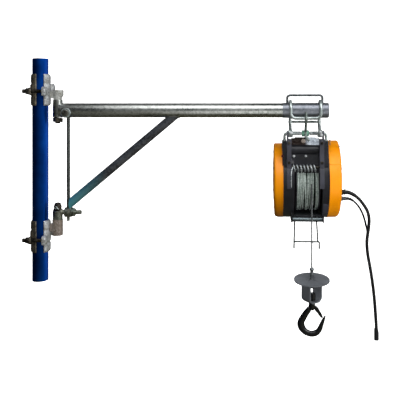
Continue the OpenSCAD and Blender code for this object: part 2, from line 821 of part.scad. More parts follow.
module supply_lead() {
    color("#1a1b1d") translate([gland_mouth, gland_y, supply_z])
        swept_tube(supply_route, supply_d / 2, lead_sides);
}

module control_lead() {
    color("#1a1b1d") translate([gland_mouth, gland_y, control_z])
        swept_tube(control_route, control_d / 2, lead_sides);
}

// A moulded in-line connector on the end of a lead.
module connector(end, r) {
    translate([end[0], end[1], end[2] - 33]) {
        cylinder(r = r, h = 25);
        translate([0, 0, 25]) cylinder(r1 = r, r2 = r - 2, h = 8);
    }
}

module supply_connector() {
    color("#202124") translate([gland_mouth, gland_y, supply_z])
        connector(supply_route[len(supply_route) - 1], 7.5);
}

module control_connector() {
    color("#202124") translate([gland_mouth, gland_y, control_z])
        connector(control_route[len(control_route) - 1], 6);
}

pole();
upper_coupler_saddle();
upper_coupler_flap();
upper_coupler_bolts();
lower_coupler_saddle();
lower_coupler_flap();
lower_coupler_bolts();
upper_pivot_bracket();
upper_pivot_pin();
lower_pivot_socket();
lower_pivot_pin();
arm_hub();
arm_tube();
end_sleeve();
tie_rod();
tie_rod_bolt();
brace_tube();
brace_collar();
lower_eye_bolt();
bail();
carry_handle();
keeper_lever();
suspension_shaft();
hanger_straps();
top_plate();
spacer_tube();
left_casing();
right_casing();
left_cover();
right_cover();
guide_rod();
guide_spring();
bottom_bracket();
bottom_roller();
cable_glands();
drum();
rope_winding();
limit_lever();
wire_rope();
rope_ferrule();
limit_disc();
swivel_bracket();
hook();
hook_latch();
supply_lead();
supply_connector();
control_lead();
control_connector();
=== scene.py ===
# %% [markdown]
# # A scaffold jib crane with an electric rope hoist
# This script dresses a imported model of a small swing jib: a blue scaffold pole with two forged couplers, a
# galvanised arm with a brace, and an orange wire-rope hoist hung on the arm's end. The solids arrive as a fixed
# frame in metres, +Z up, +X along the arm. Here they get finishes, and the parts that CAD draws plainly get
# their real surface: twisted rope, threads, pressed covers, forged hooks.

# %% Load the frame
import json
import math

import bmesh
import bpy
from mathutils import Matrix, Vector, noise


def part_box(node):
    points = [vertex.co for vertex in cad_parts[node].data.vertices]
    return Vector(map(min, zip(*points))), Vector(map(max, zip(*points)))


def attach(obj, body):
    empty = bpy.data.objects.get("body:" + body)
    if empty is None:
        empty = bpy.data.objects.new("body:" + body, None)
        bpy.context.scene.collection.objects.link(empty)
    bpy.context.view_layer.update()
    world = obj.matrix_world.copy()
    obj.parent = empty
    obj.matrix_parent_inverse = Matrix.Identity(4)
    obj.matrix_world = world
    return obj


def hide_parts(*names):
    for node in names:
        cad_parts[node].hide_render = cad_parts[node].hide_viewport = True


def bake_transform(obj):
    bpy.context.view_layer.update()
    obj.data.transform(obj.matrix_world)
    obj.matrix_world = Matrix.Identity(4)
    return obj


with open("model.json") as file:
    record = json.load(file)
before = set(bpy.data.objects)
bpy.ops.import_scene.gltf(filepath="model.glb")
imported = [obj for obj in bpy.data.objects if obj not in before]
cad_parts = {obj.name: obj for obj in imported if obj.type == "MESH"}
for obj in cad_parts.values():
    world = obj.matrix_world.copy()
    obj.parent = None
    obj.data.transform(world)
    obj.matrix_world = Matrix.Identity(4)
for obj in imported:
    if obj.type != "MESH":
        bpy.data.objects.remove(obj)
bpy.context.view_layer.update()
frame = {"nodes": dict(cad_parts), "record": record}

# %% [markdown]
# ## The camera
# The crane is looked at from about the height of the arm, a little to the left of the hoist. A 50 mm lens a
# metre and three quarters away gives the mild perspective of a catalogue picture. The camera is level, so that
# the pole stays upright, and the picture is moved down and across on the sensor, as a view camera does it.

# %% Camera
EYE = Vector((0.7049, -1.7022, 0.5403))
YAW_LEFT = math.radians(2.17)
camera_data = bpy.data.cameras.new("catalogue_camera")
camera_data.lens = 49.5
camera_data.sensor_width = 36.0
camera_data.shift_x = -0.1104
camera_data.shift_y = -0.2308
camera = bpy.data.objects.new("catalogue_camera", camera_data)
camera.location = EYE
camera.rotation_euler = (math.radians(90), 0.0, YAW_LEFT)
bpy.context.scene.collection.objects.link(camera)
bpy.context.scene.camera = camera
print("camera is", round((EYE - Vector((0.829, 0, 0.4))).length, 2), "m from the hoist")

# %% [markdown]
# ## Making meshes
# Most pieces of a hoist are turned, bent from rod, or cut from plate. Three helpers cover them: `lathe` turns a
# profile round an axis, `sweep` drags a round section along a path, and `plate` extrudes an outline. Each returns
# plain lists of points and faces, so that several can be joined into one piece.

# %% Mesh helpers
MM = 0.001


def join(*parts):
    """Put several (points, faces) lists into one."""
    points, faces = [], []
    for part_points, part_faces in parts:
        base = len(points)
        points += part_points
        faces += [tuple(base + i for i in face) for face in part_faces]
    return points, faces


def moved(part, matrix):
    """The same part somewhere else."""
    return [matrix @ Vector(p) for p in part[0]], part[1]


def axis_frame(origin, direction, spin=0.0):
    """A matrix that takes local Z to a direction, with its origin at a point."""
    turn = Vector(direction).to_track_quat("Z", "Y").to_matrix().to_4x4()
    return Matrix.Translation(Vector(origin)) @ turn @ Matrix.Rotation(spin, 4, "Z")


def lathe(profile, origin, direction, sides=48, spin=0.0, wobble=None):
    """Turn (radius, height) pairs round an axis. A radius of zero closes the end."""
    place = axis_frame(origin, direction, spin)
    points, rows, faces = [], [], []
    for radius, height in profile:
        row = []
        if radius <= 0:
            row = [len(points)]
            points.append(place @ Vector((0, 0, height)))
        else:
            for k in range(sides):
                a = 2 * math.pi * k / sides
                r = radius * (wobble(a, height) if wobble else 1.0)
                row.append(len(points))
                points.append(place @ Vector((r * math.cos(a), r * math.sin(a), height)))
        rows.append(row)
    for low, high in zip(rows, rows[1:]):
        for k in range(sides):
            n = (k + 1) % sides
            if len(low) == 1 and len(high) == 1:
                continue
            if len(low) == 1:
                faces.append((low[0], high[n], high[k]))
            elif len(high) == 1:
                faces.append((low[k], low[n], high[0]))
            else:
                faces.append((low[k], low[n], high[n], high[k]))
    return points, faces


def sweep(path, radius, sides=12, lobes=0, lobe_depth=0.0, lay=0.03, closed_ends=True, phase=0.0):
    """Drag a round section along a path. With lobes it becomes a rope's section, twisting once in each lay."""
    path = [Vector(p) for p in path]
    points, faces = [], []
    tangent = (path[1] - path[0]).normalized()
    side = tangent.orthogonal().normalized()
    run = 0.0
    for i, centre in enumerate(path):
        ahead = path[min(i + 1, len(path) - 1)]
        behind = path[max(i - 1, 0)]
        new_tangent = (ahead - behind).normalized()
        side = tangent.rotation_difference(new_tangent) @ side
        side = (side - new_tangent * side.dot(new_tangent)).normalized()
        tangent = new_tangent
        up = tangent.cross(side)
        if i:
            run += (centre - path[i - 1]).length
        twist = phase + (2 * math.pi * run / lay if lobes else 0.0)
        r0 = radius[i] if hasattr(radius, "__len__") else radius
        for k in range(sides):
            a = 2 * math.pi * k / sides
            r = r0 - lobe_depth * (0.5 - 0.5 * math.cos(lobes * a)) if lobes else r0
            points.append(centre + side * r * math.cos(a + twist) + up * r * math.sin(a + twist))
    for i in range(len(path) - 1):
        for k in range(sides):
            n = (k + 1) % sides
            faces.append((i * sides + k, i * sides + n, (i + 1) * sides + n, (i + 1) * sides + k))
    if closed_ends:
        faces.append(tuple(reversed(range(sides))))
        faces.append(tuple((len(path) - 1) * sides + k for k in range(sides)))
    return points, faces


def plate(outline, thickness, origin, direction, spin=0.0):
    """Extrude a flat outline, given counter-clockwise in its own plane."""
    place = axis_frame(origin, direction, spin)
    n = len(outline)
    points = [place @ Vector((x, y, 0)) for x, y in outline]
    points += [place @ Vector((x, y, thickness)) for x, y in outline]
    faces = [tuple(reversed(range(n))), tuple(range(n, 2 * n))]
    faces += [(k, (k + 1) % n, n + (k + 1) % n, n + k) for k in range(n)]
    return points, faces


def block(low, high):
    """A box between two corners."""
    (x0, y0, z0), (x1, y1, z1) = low, high
    points = [Vector((x, y, z)) for z in (z0, z1) for x, y in ((x0, y0), (x1, y0), (x1, y1), (x0, y1))]
    faces = [(3, 2, 1, 0), (4, 5, 6, 7), (0, 1, 5, 4), (1, 2, 6, 5), (2, 3, 7, 6), (3, 0, 4, 7)]
    return points, faces


def arc(centre, radius, start, end, steps, across, up):
    """Points along an arc in the plane of two directions, angles in degrees."""
    centre, across, up = Vector(centre), Vector(across), Vector(up)
    turns = [math.radians(start + (end - start) * i / steps) for i in range(steps + 1)]
    return [centre + radius * (math.cos(a) * across + math.sin(a) * up) for a in turns]


def bent(corners, radius, steps=8):
    """A path through corners, each rounded to a bend radius, as a rod bender leaves it."""
    corners = [Vector(c) for c in corners]
    path = [corners[0]]
    for before, corner, after in zip(corners, corners[1:], corners[2:]):
        to_before, to_after = (before - corner).normalized(), (after - corner).normalized()
        half = to_before.angle(to_after) / 2
        room = [(before - corner).length * (0.95 if before is corners[0] else 0.49),
                (after - corner).length * (0.95 if after is corners[-1] else 0.49)]
        reach = min(radius / math.tan(half), *room)
        first, last = corner + to_before * reach, corner + to_after * reach
        for i in range(steps + 1):
            t = i / steps
            path.append(first * (1 - t) ** 2 + corner * 2 * t * (1 - t) + last * t ** 2)
    path.append(corners[-1])
    return path


HOME = {node: body for body, nodes in frame["record"]["behaviour"]["bodies"].items() for node in nodes}


def piece(name, part, body, finish, replaces=(), bevel=0.0):
    """Make one object of a part drawn in millimetres, ride it on a body and give it its finish."""
    mesh = bpy.data.meshes.new(name)
    mesh.from_pydata([tuple(Vector(p) * MM) for p in part[0]], [], [tuple(f) for f in part[1]])
    tidy = bmesh.new()
    tidy.from_mesh(mesh)
    bmesh.ops.recalc_face_normals(tidy, faces=tidy.faces)
    tidy.to_mesh(mesh)
    tidy.free()
    mesh.materials.append(finish)
    mesh.shade_smooth()
    mesh.set_sharp_from_angle(angle=math.radians(35))
    thing = bpy.data.objects.new(name, mesh)
    bpy.context.scene.collection.objects.link(thing)
    if bevel:
        edge = thing.modifiers.new("worn_edge", "BEVEL")
        edge.width = bevel * MM
        edge.segments = 2
        edge.limit_method = "ANGLE"
        edge.angle_limit = math.radians(30)
        edge.use_clamp_overlap = True
        edge.harden_normals = True
    if body:
        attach(thing, body)
    if replaces:
        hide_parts(*replaces)
    return thing


def softened(node, slot, finish, width, *extras):
    """A copy of a solid in the frame whose flat faces are merged and whose edges are worn round."""
    work = bmesh.new()
    work.from_mesh(frame["nodes"][node].data)
    bmesh.ops.remove_doubles(work, verts=work.verts, dist=1e-5)
    bmesh.ops.dissolve_limit(work, angle_limit=math.radians(0.5), verts=work.verts, edges=work.edges)
    work.verts.index_update()
    part = [v.co / MM for v in work.verts], [tuple(v.index for v in f.verts) for f in work.faces]
    work.free()
    return piece(node + "_worn", join(part, *extras), HOME[node], finish, [node], bevel=width)


# %% [markdown]
# Fasteners come next, because every joint on the crane shows some. A thread is a lathe whose radius climbs one
# pitch in each turn. A nut is a lathe too: its section is a hexagon, cut by the cone that takes the corners off.
# A weld bead is a sweep whose radius ripples, one ripple for each drop of metal.

# %% Threads, nuts and welds


def thread(radius, length, pitch, origin, direction, sides=32):
    depth = pitch * 0.6
    rows = max(4, int(length / pitch * 6))

    def climb(a, h):
        return 1 - depth / radius * abs(2 * ((h / pitch - a / (2 * math.pi)) % 1) - 1)

    profile = [(0, 0), (radius * 0.8, 0)] + [(radius, length * i / rows) for i in range(1, rows)]
    return lathe(profile + [(radius * 0.8, length), (0, length)], origin, direction, sides, wobble=climb)


def nut(flats, height, origin, direction, spin=0.0):
    corner = flats / 2 / math.cos(math.radians(30))
    sixth = math.pi / 3

    def six_sides(a, h):
        hexagon = flats / 2 / math.cos((a + sixth / 2) % sixth - sixth / 2)
        return min(hexagon, flats * 0.485 + min(h, height - h) * 1.7) / corner

    cut = (corner - flats * 0.485) / 1.7
    steps = [0, cut / 2, cut, height - cut, height - cut / 2, height]
    return lathe([(0, 0)] + [(corner, h) for h in steps] + [(0, height)], origin, direction, 48, spin, six_sides)


def rod(path, radius, sides=20):
    return sweep(path, radius, sides)


def weld(path, radius):
    """A ripple about every two millimetres along the bead."""
    fine = []
    for a, b in zip(path, path[1:]):
        a, b = Vector(a), Vector(b)
        steps = max(1, int((b - a).length / 0.5))
        fine += [a.lerp(b, i / steps) for i in range(steps)]
    fine.append(Vector(path[-1]))
    ripples = [radius * (0.86 + 0.14 * math.cos(i * math.pi / 2)) for i in range(len(fine))]
    ripples[0] = ripples[-1] = radius * 0.4
    return sweep(fine, ripples, 10)


print("helpers ready;", len(HOME), "solids have a body")

# %% [markdown]
# ## Finishes
# A finish is a Principled surface with a few layers over it. Colours are written as sRGB hex and turned to linear
# light by one function. `add` puts one node into a material with its settings and links, and every finish below
# starts from `new_finish`. Patterns use object coordinates in metres, so a scale is one over a real length.

# %% Finish helpers


def linear(hex_colour):
    """sRGB hex to linear RGBA."""
    channels = [int(hex_colour[i:i + 2], 16) / 255 for i in (1, 3, 5)]
    return tuple(c / 12.92 if c <= 0.04045 else ((c + 0.055) / 1.055) ** 2.4 for c in channels) + (1.0,)


def add(tree, kind, inputs=None, **settings):
    """Add one node: settings are its properties, inputs are values or the sockets that feed it."""
    node = tree.nodes.new(kind)
    for key, value in settings.items():
        setattr(node, key, value)
    for key, value in (inputs or {}).items():
        if isinstance(value, bpy.types.NodeSocket):
            tree.links.new(value, node.inputs[key])
        else:
            node.inputs[key].default_value = value
    return node


def new_finish(name, **shader_inputs):
    """A material with a Principled shader, and its object coordinates."""
    material = bpy.data.materials.new(name)
    material.use_nodes = True
    tree = material.node_tree
    shader = tree.nodes["Principled BSDF"]
    for key, value in shader_inputs.items():
        shader.inputs[key.replace("_", " ")].default_value = value
    place = tree.nodes.new("ShaderNodeTexCoord").outputs["Object"]
    return material, tree, shader, place


def ramp(tree, factor, stops):
    """A colour ramp over a factor, from (position, hex) stops."""
    node = add(tree, "ShaderNodeValToRGB", {"Fac": factor})
    band = node.color_ramp
    while len(band.elements) < len(stops):
        band.elements.new(0.5)
    for element, (position, colour) in zip(band.elements, stops):
        element.position = position
        element.color = linear(colour)
    return node.outputs["Color"]


def spread(tree, factor, low, high, start=0.35, end=0.65):
    """Map a noise's middle range to a value range."""
    node = add(tree, "ShaderNodeMapRange", {
        "Value": factor, "From Min": start, "From Max": end, "To Min": low, "To Max": high})
    return node.outputs["Result"]


def bumped(tree, shader, height, strength, depth):
    """Feed a height into the shader's normal, depth in metres."""
    node = add(tree, "ShaderNodeBump", {"Height": height, "Strength": strength, "Distance": depth})
    tree.links.new(node.outputs["Normal"], shader.inputs["Normal"])


# %% [markdown]
# ### Blue scaffold paint
# The pole is a steel scaffold tube in blue enamel. The enamel is glossy and a little uneven, darker where grime
# has settled, and chipped in small specks where couplers have been moved along it.

# %% Blue enamel


def blue_enamel():
    material, tree, shader, place = new_finish("blue_scaffold_enamel", Metallic=0.92)
    cloud = add(tree, "ShaderNodeTexNoise", {"Vector": place, "Scale": 1 / 0.05, "Detail": 6.0})
    tone = ramp(tree, cloud.outputs["Fac"], [(0.3, "#003F9C"), (0.55, "#004CB4"), (0.75, "#0558C4")])
    chips = add(tree, "ShaderNodeTexNoise", {"Vector": place, "Scale": 1 / 0.006, "Detail": 4.0, "Roughness": 0.7})
    chipped = spread(tree, chips.outputs["Fac"], 0.0, 1.0, 0.70, 0.74)
    colour = add(tree, "ShaderNodeMix", {"Factor": chipped, "A": tone, "B": linear("#3B2A20")}, data_type="RGBA")
    tree.links.new(colour.outputs["Result"], shader.inputs["Base Color"])
    tree.links.new(spread(tree, cloud.outputs["Fac"], 0.40, 0.48), shader.inputs["Roughness"])
    peel = add(tree, "ShaderNodeTexNoise", {"Vector": place, "Scale": 1 / 0.0025, "Detail": 2.0})
    bumped(tree, shader, peel.outputs["Fac"], 0.25, 0.0003)
    return material


# %% [markdown]
# ### Galvanised and zinc-plated steel
# Hot-dip zinc crystallises in patches of slightly different grey, called spangle, a few millimetres to a
# centimetre across. Drawn tube also carries faint streaks along its length. Forged couplers are plated too, but
# their scale shows through as olive and brown stains.

# %% Zinc


def galvanised(name, light, dark, stain=0.0, rough=0.26, streak=(0.12, 1.0, 1.0), grain=0.006, metal=1.0):
    material, tree, shader, place = new_finish(name, Metallic=metal)
    spangle = add(tree, "ShaderNodeTexVoronoi", {"Vector": place, "Scale": 1 / grain})
    grey = spread(tree, add(tree, "ShaderNodeSeparateColor", {"Color": spangle.outputs["Color"]}).outputs["Red"],
                  0.0, 1.0, 0.0, 1.0)
    stretched = add(tree, "ShaderNodeMapping", {"Vector": place, "Scale": streak})
    streaks = add(tree, "ShaderNodeTexNoise",
                  {"Vector": stretched.outputs["Vector"], "Scale": 1 / 0.03, "Detail": 8.0})
    both = add(tree, "ShaderNodeMix", {"Factor": 0.72, "A": grey, "B": streaks.outputs["Fac"]}, data_type="FLOAT")
    tone = ramp(tree, both.outputs["Result"], [(0.3, dark), (0.62, light)])
    if stain:
        patches = add(tree, "ShaderNodeTexNoise",
                      {"Vector": place, "Scale": 1 / 0.014, "Detail": 5.0, "Roughness": 0.65})
        where = spread(tree, patches.outputs["Fac"], 0.0, stain, 0.47, 0.62)
        rusty = ramp(tree, streaks.outputs["Fac"], [(0.35, "#2A1D12"), (0.6, "#5E5132")])
        mixed = add(tree, "ShaderNodeMix", {"Factor": where, "A": tone, "B": rusty}, data_type="RGBA")
        tone = mixed.outputs["Result"]
        bare = spread(tree, where, metal, 0.0, 0.0, 1.0)
        tree.links.new(bare, shader.inputs["Metallic"])
    tree.links.new(tone, shader.inputs["Base Color"])
    tree.links.new(spread(tree, streaks.outputs["Fac"], rough - 0.06, rough + 0.14), shader.inputs["Roughness"])
    pits = add(tree, "ShaderNodeTexNoise", {"Vector": place, "Scale": 1 / 0.002, "Detail": 5.0})
    bumped(tree, shader, pits.outputs["Fac"], 0.3, 0.0004 if stain else 0.0002)
    return material


def brace_zinc():
    """The brace's zinc, with a pale blue-green highlight painted on towards its foot."""
    material = galvanised("brace_zinc_painted_foot_highlight", "#6C6F76", "#44464C", rough=0.32, metal=0.75)
    tree = material.node_tree
    shader = tree.nodes["Principled BSDF"]
    plain = shader.inputs["Base Color"].links[0].from_socket
    place = add(tree, "ShaderNodeSeparateXYZ", {"Vector": tree.nodes.new("ShaderNodeTexCoord").outputs["Object"]})
    # Painted highlight: the base colour turns pale blue-green over the lowest part of the brace.
    painted_foot_highlight = spread(tree, place.outputs["X"], 0.85, 0.0, 0.10, 0.21)
    tone = add(tree, "ShaderNodeMix", {"Factor": painted_foot_highlight, "A": plain, "B": linear("#6CC8DA")}, data_type="RGBA")
    tree.links.new(tone.outputs["Result"], shader.inputs["Base Color"])
    return material


def plate_with_painted_reflection():
    """The top plate: pale zinc to the right of the keeper, dark brown to its left, split as a painted reflection."""
    material = galvanised("plate_with_painted_reflection", "#D5DEE8", "#A7B0BC", rough=0.3, metal=0.4)
    tree = material.node_tree
    shader = tree.nodes["Principled BSDF"]
    plain = shader.inputs["Base Color"].links[0].from_socket
    place = tree.nodes.new("ShaderNodeTexCoord").outputs["Object"]
    ragged = add(tree, "ShaderNodeTexNoise", {"Vector": place, "Scale": 1 / 0.008, "Detail": 4.0})
    x = add(tree, "ShaderNodeSeparateXYZ", {"Vector": place}).outputs["X"]
    edge = add(tree, "ShaderNodeMath", {0: ragged.outputs["Fac"], 1: 0.016, 2: x}, operation="MULTIPLY_ADD")
    # Painted reflection: left of a ragged line near x = 0.84 m the plate is dark brown, to its right pale zinc.
    painted_dark_reflection = spread(tree, edge.outputs["Value"], 1.0, 0.0, 0.836, 0.846)
    tone = add(tree, "ShaderNodeMix", {"Factor": painted_dark_reflection, "A": plain, "B": linear("#2B2220")}, data_type="RGBA")
    tree.links.new(tone.outputs["Result"], shader.inputs["Base Color"])
    return material


# %% [markdown]
# ### Paints and rubber on the hoist
# The covers are gloss orange enamel over pressed steel. Casings, straps and the hook are satin black. The arm's
# end sleeve and the limit disc are a dark grey coat with a soft sheen. Cables are black PVC with a dull skin.

# %% Paints


def coat_of_paint(name, low, high, rough, peel_mm=1.5, peel=0.15, gloss=0.0, grime=0.0, level=0.5):
    material, tree, shader, place = new_finish(name, IOR=1.5, Coat_Weight=gloss, Coat_Roughness=0.08,
                                               Specular_IOR_Level=level)
    cloud = add(tree, "ShaderNodeTexNoise", {"Vector": place, "Scale": 1 / 0.06, "Detail": 6.0})
    tone = ramp(tree, cloud.outputs["Fac"], [(0.35, low), (0.65, high)])
    if grime:
        dirt = add(tree, "ShaderNodeTexNoise", {"Vector": place, "Scale": 1 / 0.012, "Detail": 8.0, "Roughness": 0.7})
        where = spread(tree, dirt.outputs["Fac"], 0.0, grime, 0.52, 0.72)
        mixed = add(tree, "ShaderNodeMix", {"Factor": where, "A": tone, "B": linear("#3A3328")}, data_type="RGBA")
        tone = mixed.outputs["Result"]
    tree.links.new(tone, shader.inputs["Base Color"])
    tree.links.new(spread(tree, cloud.outputs["Fac"], rough - 0.04, rough + 0.06), shader.inputs["Roughness"])
    skin = add(tree, "ShaderNodeTexNoise", {"Vector": place, "Scale": 1000 / peel_mm, "Detail": 2.0})
    bumped(tree, shader, skin.outputs["Fac"], peel, 0.0002)
    return material


ALL_ROUND = (1.0, 1.0, 1.0)
FINISH = {
    "blue": blue_enamel(),
    "zinc": galvanised("hot_dip_zinc", "#D0D3D0", "#9EA29E"),
    "rod_zinc": galvanised("zinc_rod", "#565B58", "#434744", rough=0.3, streak=(1.0, 1.0, 0.12), grain=0.003,
                           metal=0.7),
    "brace": brace_zinc(),
    "plate_zinc": plate_with_painted_reflection(),
    "forged_zinc": galvanised("stained_zinc_forging", "#D2D5D7", "#93979A", 0.55, 0.4, ALL_ROUND, 0.004, 0.55),
    "lip_zinc": galvanised("zinc_forging_edge", "#D8D6D8", "#9C9899", 0.2, 0.4, ALL_ROUND, 0.004, 0.5),
    "lug_zinc": galvanised("zinc_lug_forging", "#BFC1BE", "#86867F", 0.35, 0.45, ALL_ROUND, 0.003, 0.5),
    "brown_forging": galvanised("brown_stained_forging", "#A89C94", "#6E625A", 0.6, 0.5, ALL_ROUND, 0.003, 0.5),
    # The flap's forging: the same zinc as the saddle with stains, but darker overall as painted shade on the pole's
    # unlit left.
    "flap_forging_painted_shade": galvanised("stained_forging_painted_shade", "#8A857A", "#3A352E", 0.6, 0.4, ALL_ROUND, 0.003, 0.85),
    "olive_zinc": galvanised("olive_passivated_zinc", "#9CA399", "#555A50", 0.5, 0.36, ALL_ROUND, 0.003),
    "bolt": galvanised("zinc_bolt_steel", "#A7A59D", "#5A5852", 0.3, 0.36, ALL_ROUND, 0.002),
    "dark_bolt": galvanised("blackened_bolt_steel", "#5A5752", "#211F1D", 0.3, 0.38, ALL_ROUND, 0.002),
    "weld": galvanised("zinc_sprayed_weld", "#8E908D", "#5D5F5C", 0.3, 0.45, ALL_ROUND, 0.002),
    "bright": galvanised("bright_zinc_rod", "#C6D0CF", "#8D9796", rough=0.24, streak=ALL_ROUND, metal=0.7),
    "screw_zinc": galvanised("clear_zinc_screw", "#C2C6C8", "#8E9294", rough=0.3, streak=ALL_ROUND, metal=0.35),
    "grey_rod": galvanised("grey_plated_rod", "#7E8386", "#4A4E51", rough=0.3, streak=ALL_ROUND, metal=0.75),
    "spring": galvanised("oiled_spring_steel", "#C2C8CA", "#7C8386", rough=0.25, streak=ALL_ROUND, metal=0.6),
    "green_zinc": galvanised("green_passivated_zinc", "#86B7A2", "#4A7562", rough=0.3, streak=ALL_ROUND, metal=0.5),
    "lever_zinc": galvanised("dull_lever_zinc", "#98A39F", "#5E6865", rough=0.3, streak=ALL_ROUND, metal=0.7),
    "rope": galvanised("oiled_rope_wire", "#D3DED8", "#93A39C", rough=0.34, streak=ALL_ROUND, grain=0.004,
                       metal=0.45),
    "rope_fall": galvanised("falling_rope_wire", "#7C7F81", "#545759", rough=0.4, streak=ALL_ROUND, grain=0.002,
                            metal=0.6),
    # Painted shade: the turns under the top layer get this darker copy of the rope wire.
    "rope_painted_shade": galvanised("rope_wire_painted_shade", "#3F4643", "#1F2422", rough=0.5, streak=ALL_ROUND, grain=0.002),
    "roller": galvanised("grey_turned_steel", "#93A0A6", "#66737A", 0.2, 0.34, ALL_ROUND, 0.002, 0.6),
    "wire_grey": galvanised("grey_wire", "#5C6260", "#3C413F", rough=0.36, streak=ALL_ROUND, metal=0.75),
    "sleeve": galvanised("phosphated_sleeve", "#8C9098", "#6E727A", rough=0.34, metal=0.9),
    "black": coat_of_paint("satin_black_paint", "#17181C", "#232429", 0.36, grime=0.15),
    "strap_black": coat_of_paint("strap_black_paint", "#2F3038", "#3D3E48", 0.42, grime=0.1),
    "hook_black": coat_of_paint("gloss_black_forging", "#08090A", "#101113", 0.25, peel_mm=3.0, peel=0.4, gloss=0.4),
    "disc": coat_of_paint("matte_grey_disc", "#55585D", "#6E7278", 0.5, grime=0.3),
    "orange": coat_of_paint("orange_enamel", "#DA8200", "#E08A00", 0.38, peel_mm=2.0, peel=0.1, level=0.3),
    "latch_red": coat_of_paint("dark_red_latch", "#360A07", "#4A120C", 0.4),
    "grey_gland": coat_of_paint("grey_gland_nylon", "#3C3E44", "#54575E", 0.4),
    "rubber": coat_of_paint("black_cable_pvc", "#0D0D0F", "#17171A", 0.5, peel_mm=0.8, peel=0.2),
}
print("finishes:", ", ".join(FINISH))

# %% Finishes for the solids that keep their own shape
NODE_FINISH = {
    "blue": ["pole"],
    "zinc": ["arm_tube"],
    "rod_zinc": ["tie_rod"],
    "brace": ["brace_tube"],
    "sleeve": ["end_sleeve"],
    }
for finish, nodes in NODE_FINISH.items():
    for node in nodes:
        solid = frame["nodes"][node]
        solid.data.materials.clear()
        solid.data.materials.append(FINISH[finish])

# %% [markdown]
# ## The two leads
# The supply and control leads leave two glands on the right cover and hang beside the hoist. A lead is a fixed
# length of something flexible: it comes straight out of its gland, turns down under its own weight and ends in a
# moulded connector. Each is one open spline with a round bevel, and a turned plug body closes its far end.

# %% Leads
GLAND_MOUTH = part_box("cable_glands")[1][0]
SUPPLY_EXIT = Vector((GLAND_MOUTH, 0.060, 0.271))
CONTROL_EXIT = Vector((GLAND_MOUTH, 0.060, 0.251))
SUPPLY_ROUTE = [
    (0, 0, 0), (6, 0, 0), (20, -1, -5), (34, -2, -14), (46, -2.5, -26), (56, -3, -39),
    (64.6, -4, -53), (70, -5, -67), (72.3, -6, -82), (72.1, -6.5, -97), (70.3, -7.5, -113),
    (67.6, -8.5, -130), (65.4, -9.5, -147), (64.8, -10, -164), (67.2, -11, -194),
    (73.8, -12, -232), (80.5, -13, -274), (86, -13.5, -320), (90, -14, -367),
    (92.4, -14, -404), (93.4, -14, -420), (93.8, -14, -430),
]
CONTROL_ROUTE = [
    (0, 0, 0), (6, 0, 0), (13, 0, -1.5), (22.5, 0, -6.5), (32, 0, -14.8), (40.5, 0, -25.3),
    (47.8, 0, -37), (54, 0, -50.6), (59, 0, -66), (63, 0.5, -82), (66.6, 1.2, -96),
    (68.6, 2, -111), (67.6, 2.6, -127), (67, 3, -144), (69.4, 3, -174), (76, 3, -212),
    (82.8, 3, -254), (88.4, 3, -300), (92.5, 3, -347), (94.9, 3, -386), (95.6, 3, -400),
    (95.8, 3, -406),
]


def smooth_route(route, exit_point, per_span=4):
    """A Catmull-Rom curve through the route's points."""
    knots = [exit_point + Vector(p) * MM for p in route]
    padded = [2 * knots[0] - knots[1]] + knots + [2 * knots[-1] - knots[-2]]
    path = []
    for a, b, c, d in zip(padded, padded[1:], padded[2:], padded[3:]):
        for i in range(per_span):
            t = i / per_span
            path.append(0.5 * ((2 * b) + (c - a) * t + (2 * a - 5 * b + 4 * c - d) * t ** 2
                               + (3 * b - a - 3 * c + d) * t ** 3))
    path.append(knots[-1])
    return path


def lead(name, route, exit_point, diameter, node, plug_name, plug_r, connector):
    path = smooth_route(route, exit_point)
    curve = bpy.data.curves.new(name, "CURVE")
    curve.dimensions = "3D"
    curve.bevel_depth = diameter / 2
    curve.bevel_resolution = 3
    curve.use_fill_caps = True
    spline = curve.splines.new("POLY")
    spline.points.add(len(path) - 1)
    for point, place in zip(spline.points, path):
        point.co = (*place, 1.0)
    cable = bpy.data.objects.new(name, curve)
    bpy.context.scene.collection.objects.link(cable)
    curve.materials.append(FINISH["rubber"])
    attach(cable, "hoist")
    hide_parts(node)
    path_mm = [p / MM for p in path]
    neck = diameter / MM / 2 + 0.5
    body = [(0, -33), (plug_r - 1.2, -33), (plug_r, -31.8), (plug_r, -27.4), (plug_r - 0.7, -26.8),
            (plug_r - 0.7, -25.8), (plug_r, -25.2), (plug_r, -9.6), (plug_r - 0.6, -8), (neck, -0.4), (0, 0)]
    plug = piece(plug_name, lathe(body, path_mm[-1], (0, 0, 1), 36), "hoist", FINISH["rubber"],
                 [connector])
    return path_mm


supply_path = lead("supply_cable", SUPPLY_ROUTE, SUPPLY_EXIT, 0.0105, "supply_lead", "supply_plug_body", 7.5,
                   "supply_connector")
control_path = lead("control_cable", CONTROL_ROUTE, CONTROL_EXIT, 0.0065, "control_lead", "control_plug_body", 6.0,
                    "control_connector")

# %% [markdown]
# Each gland is a ribbed sleeve with a clamping nut, and a tapered rubber sheath carries the first few centimetres
# of the lead, so that it can't kink where it comes out.

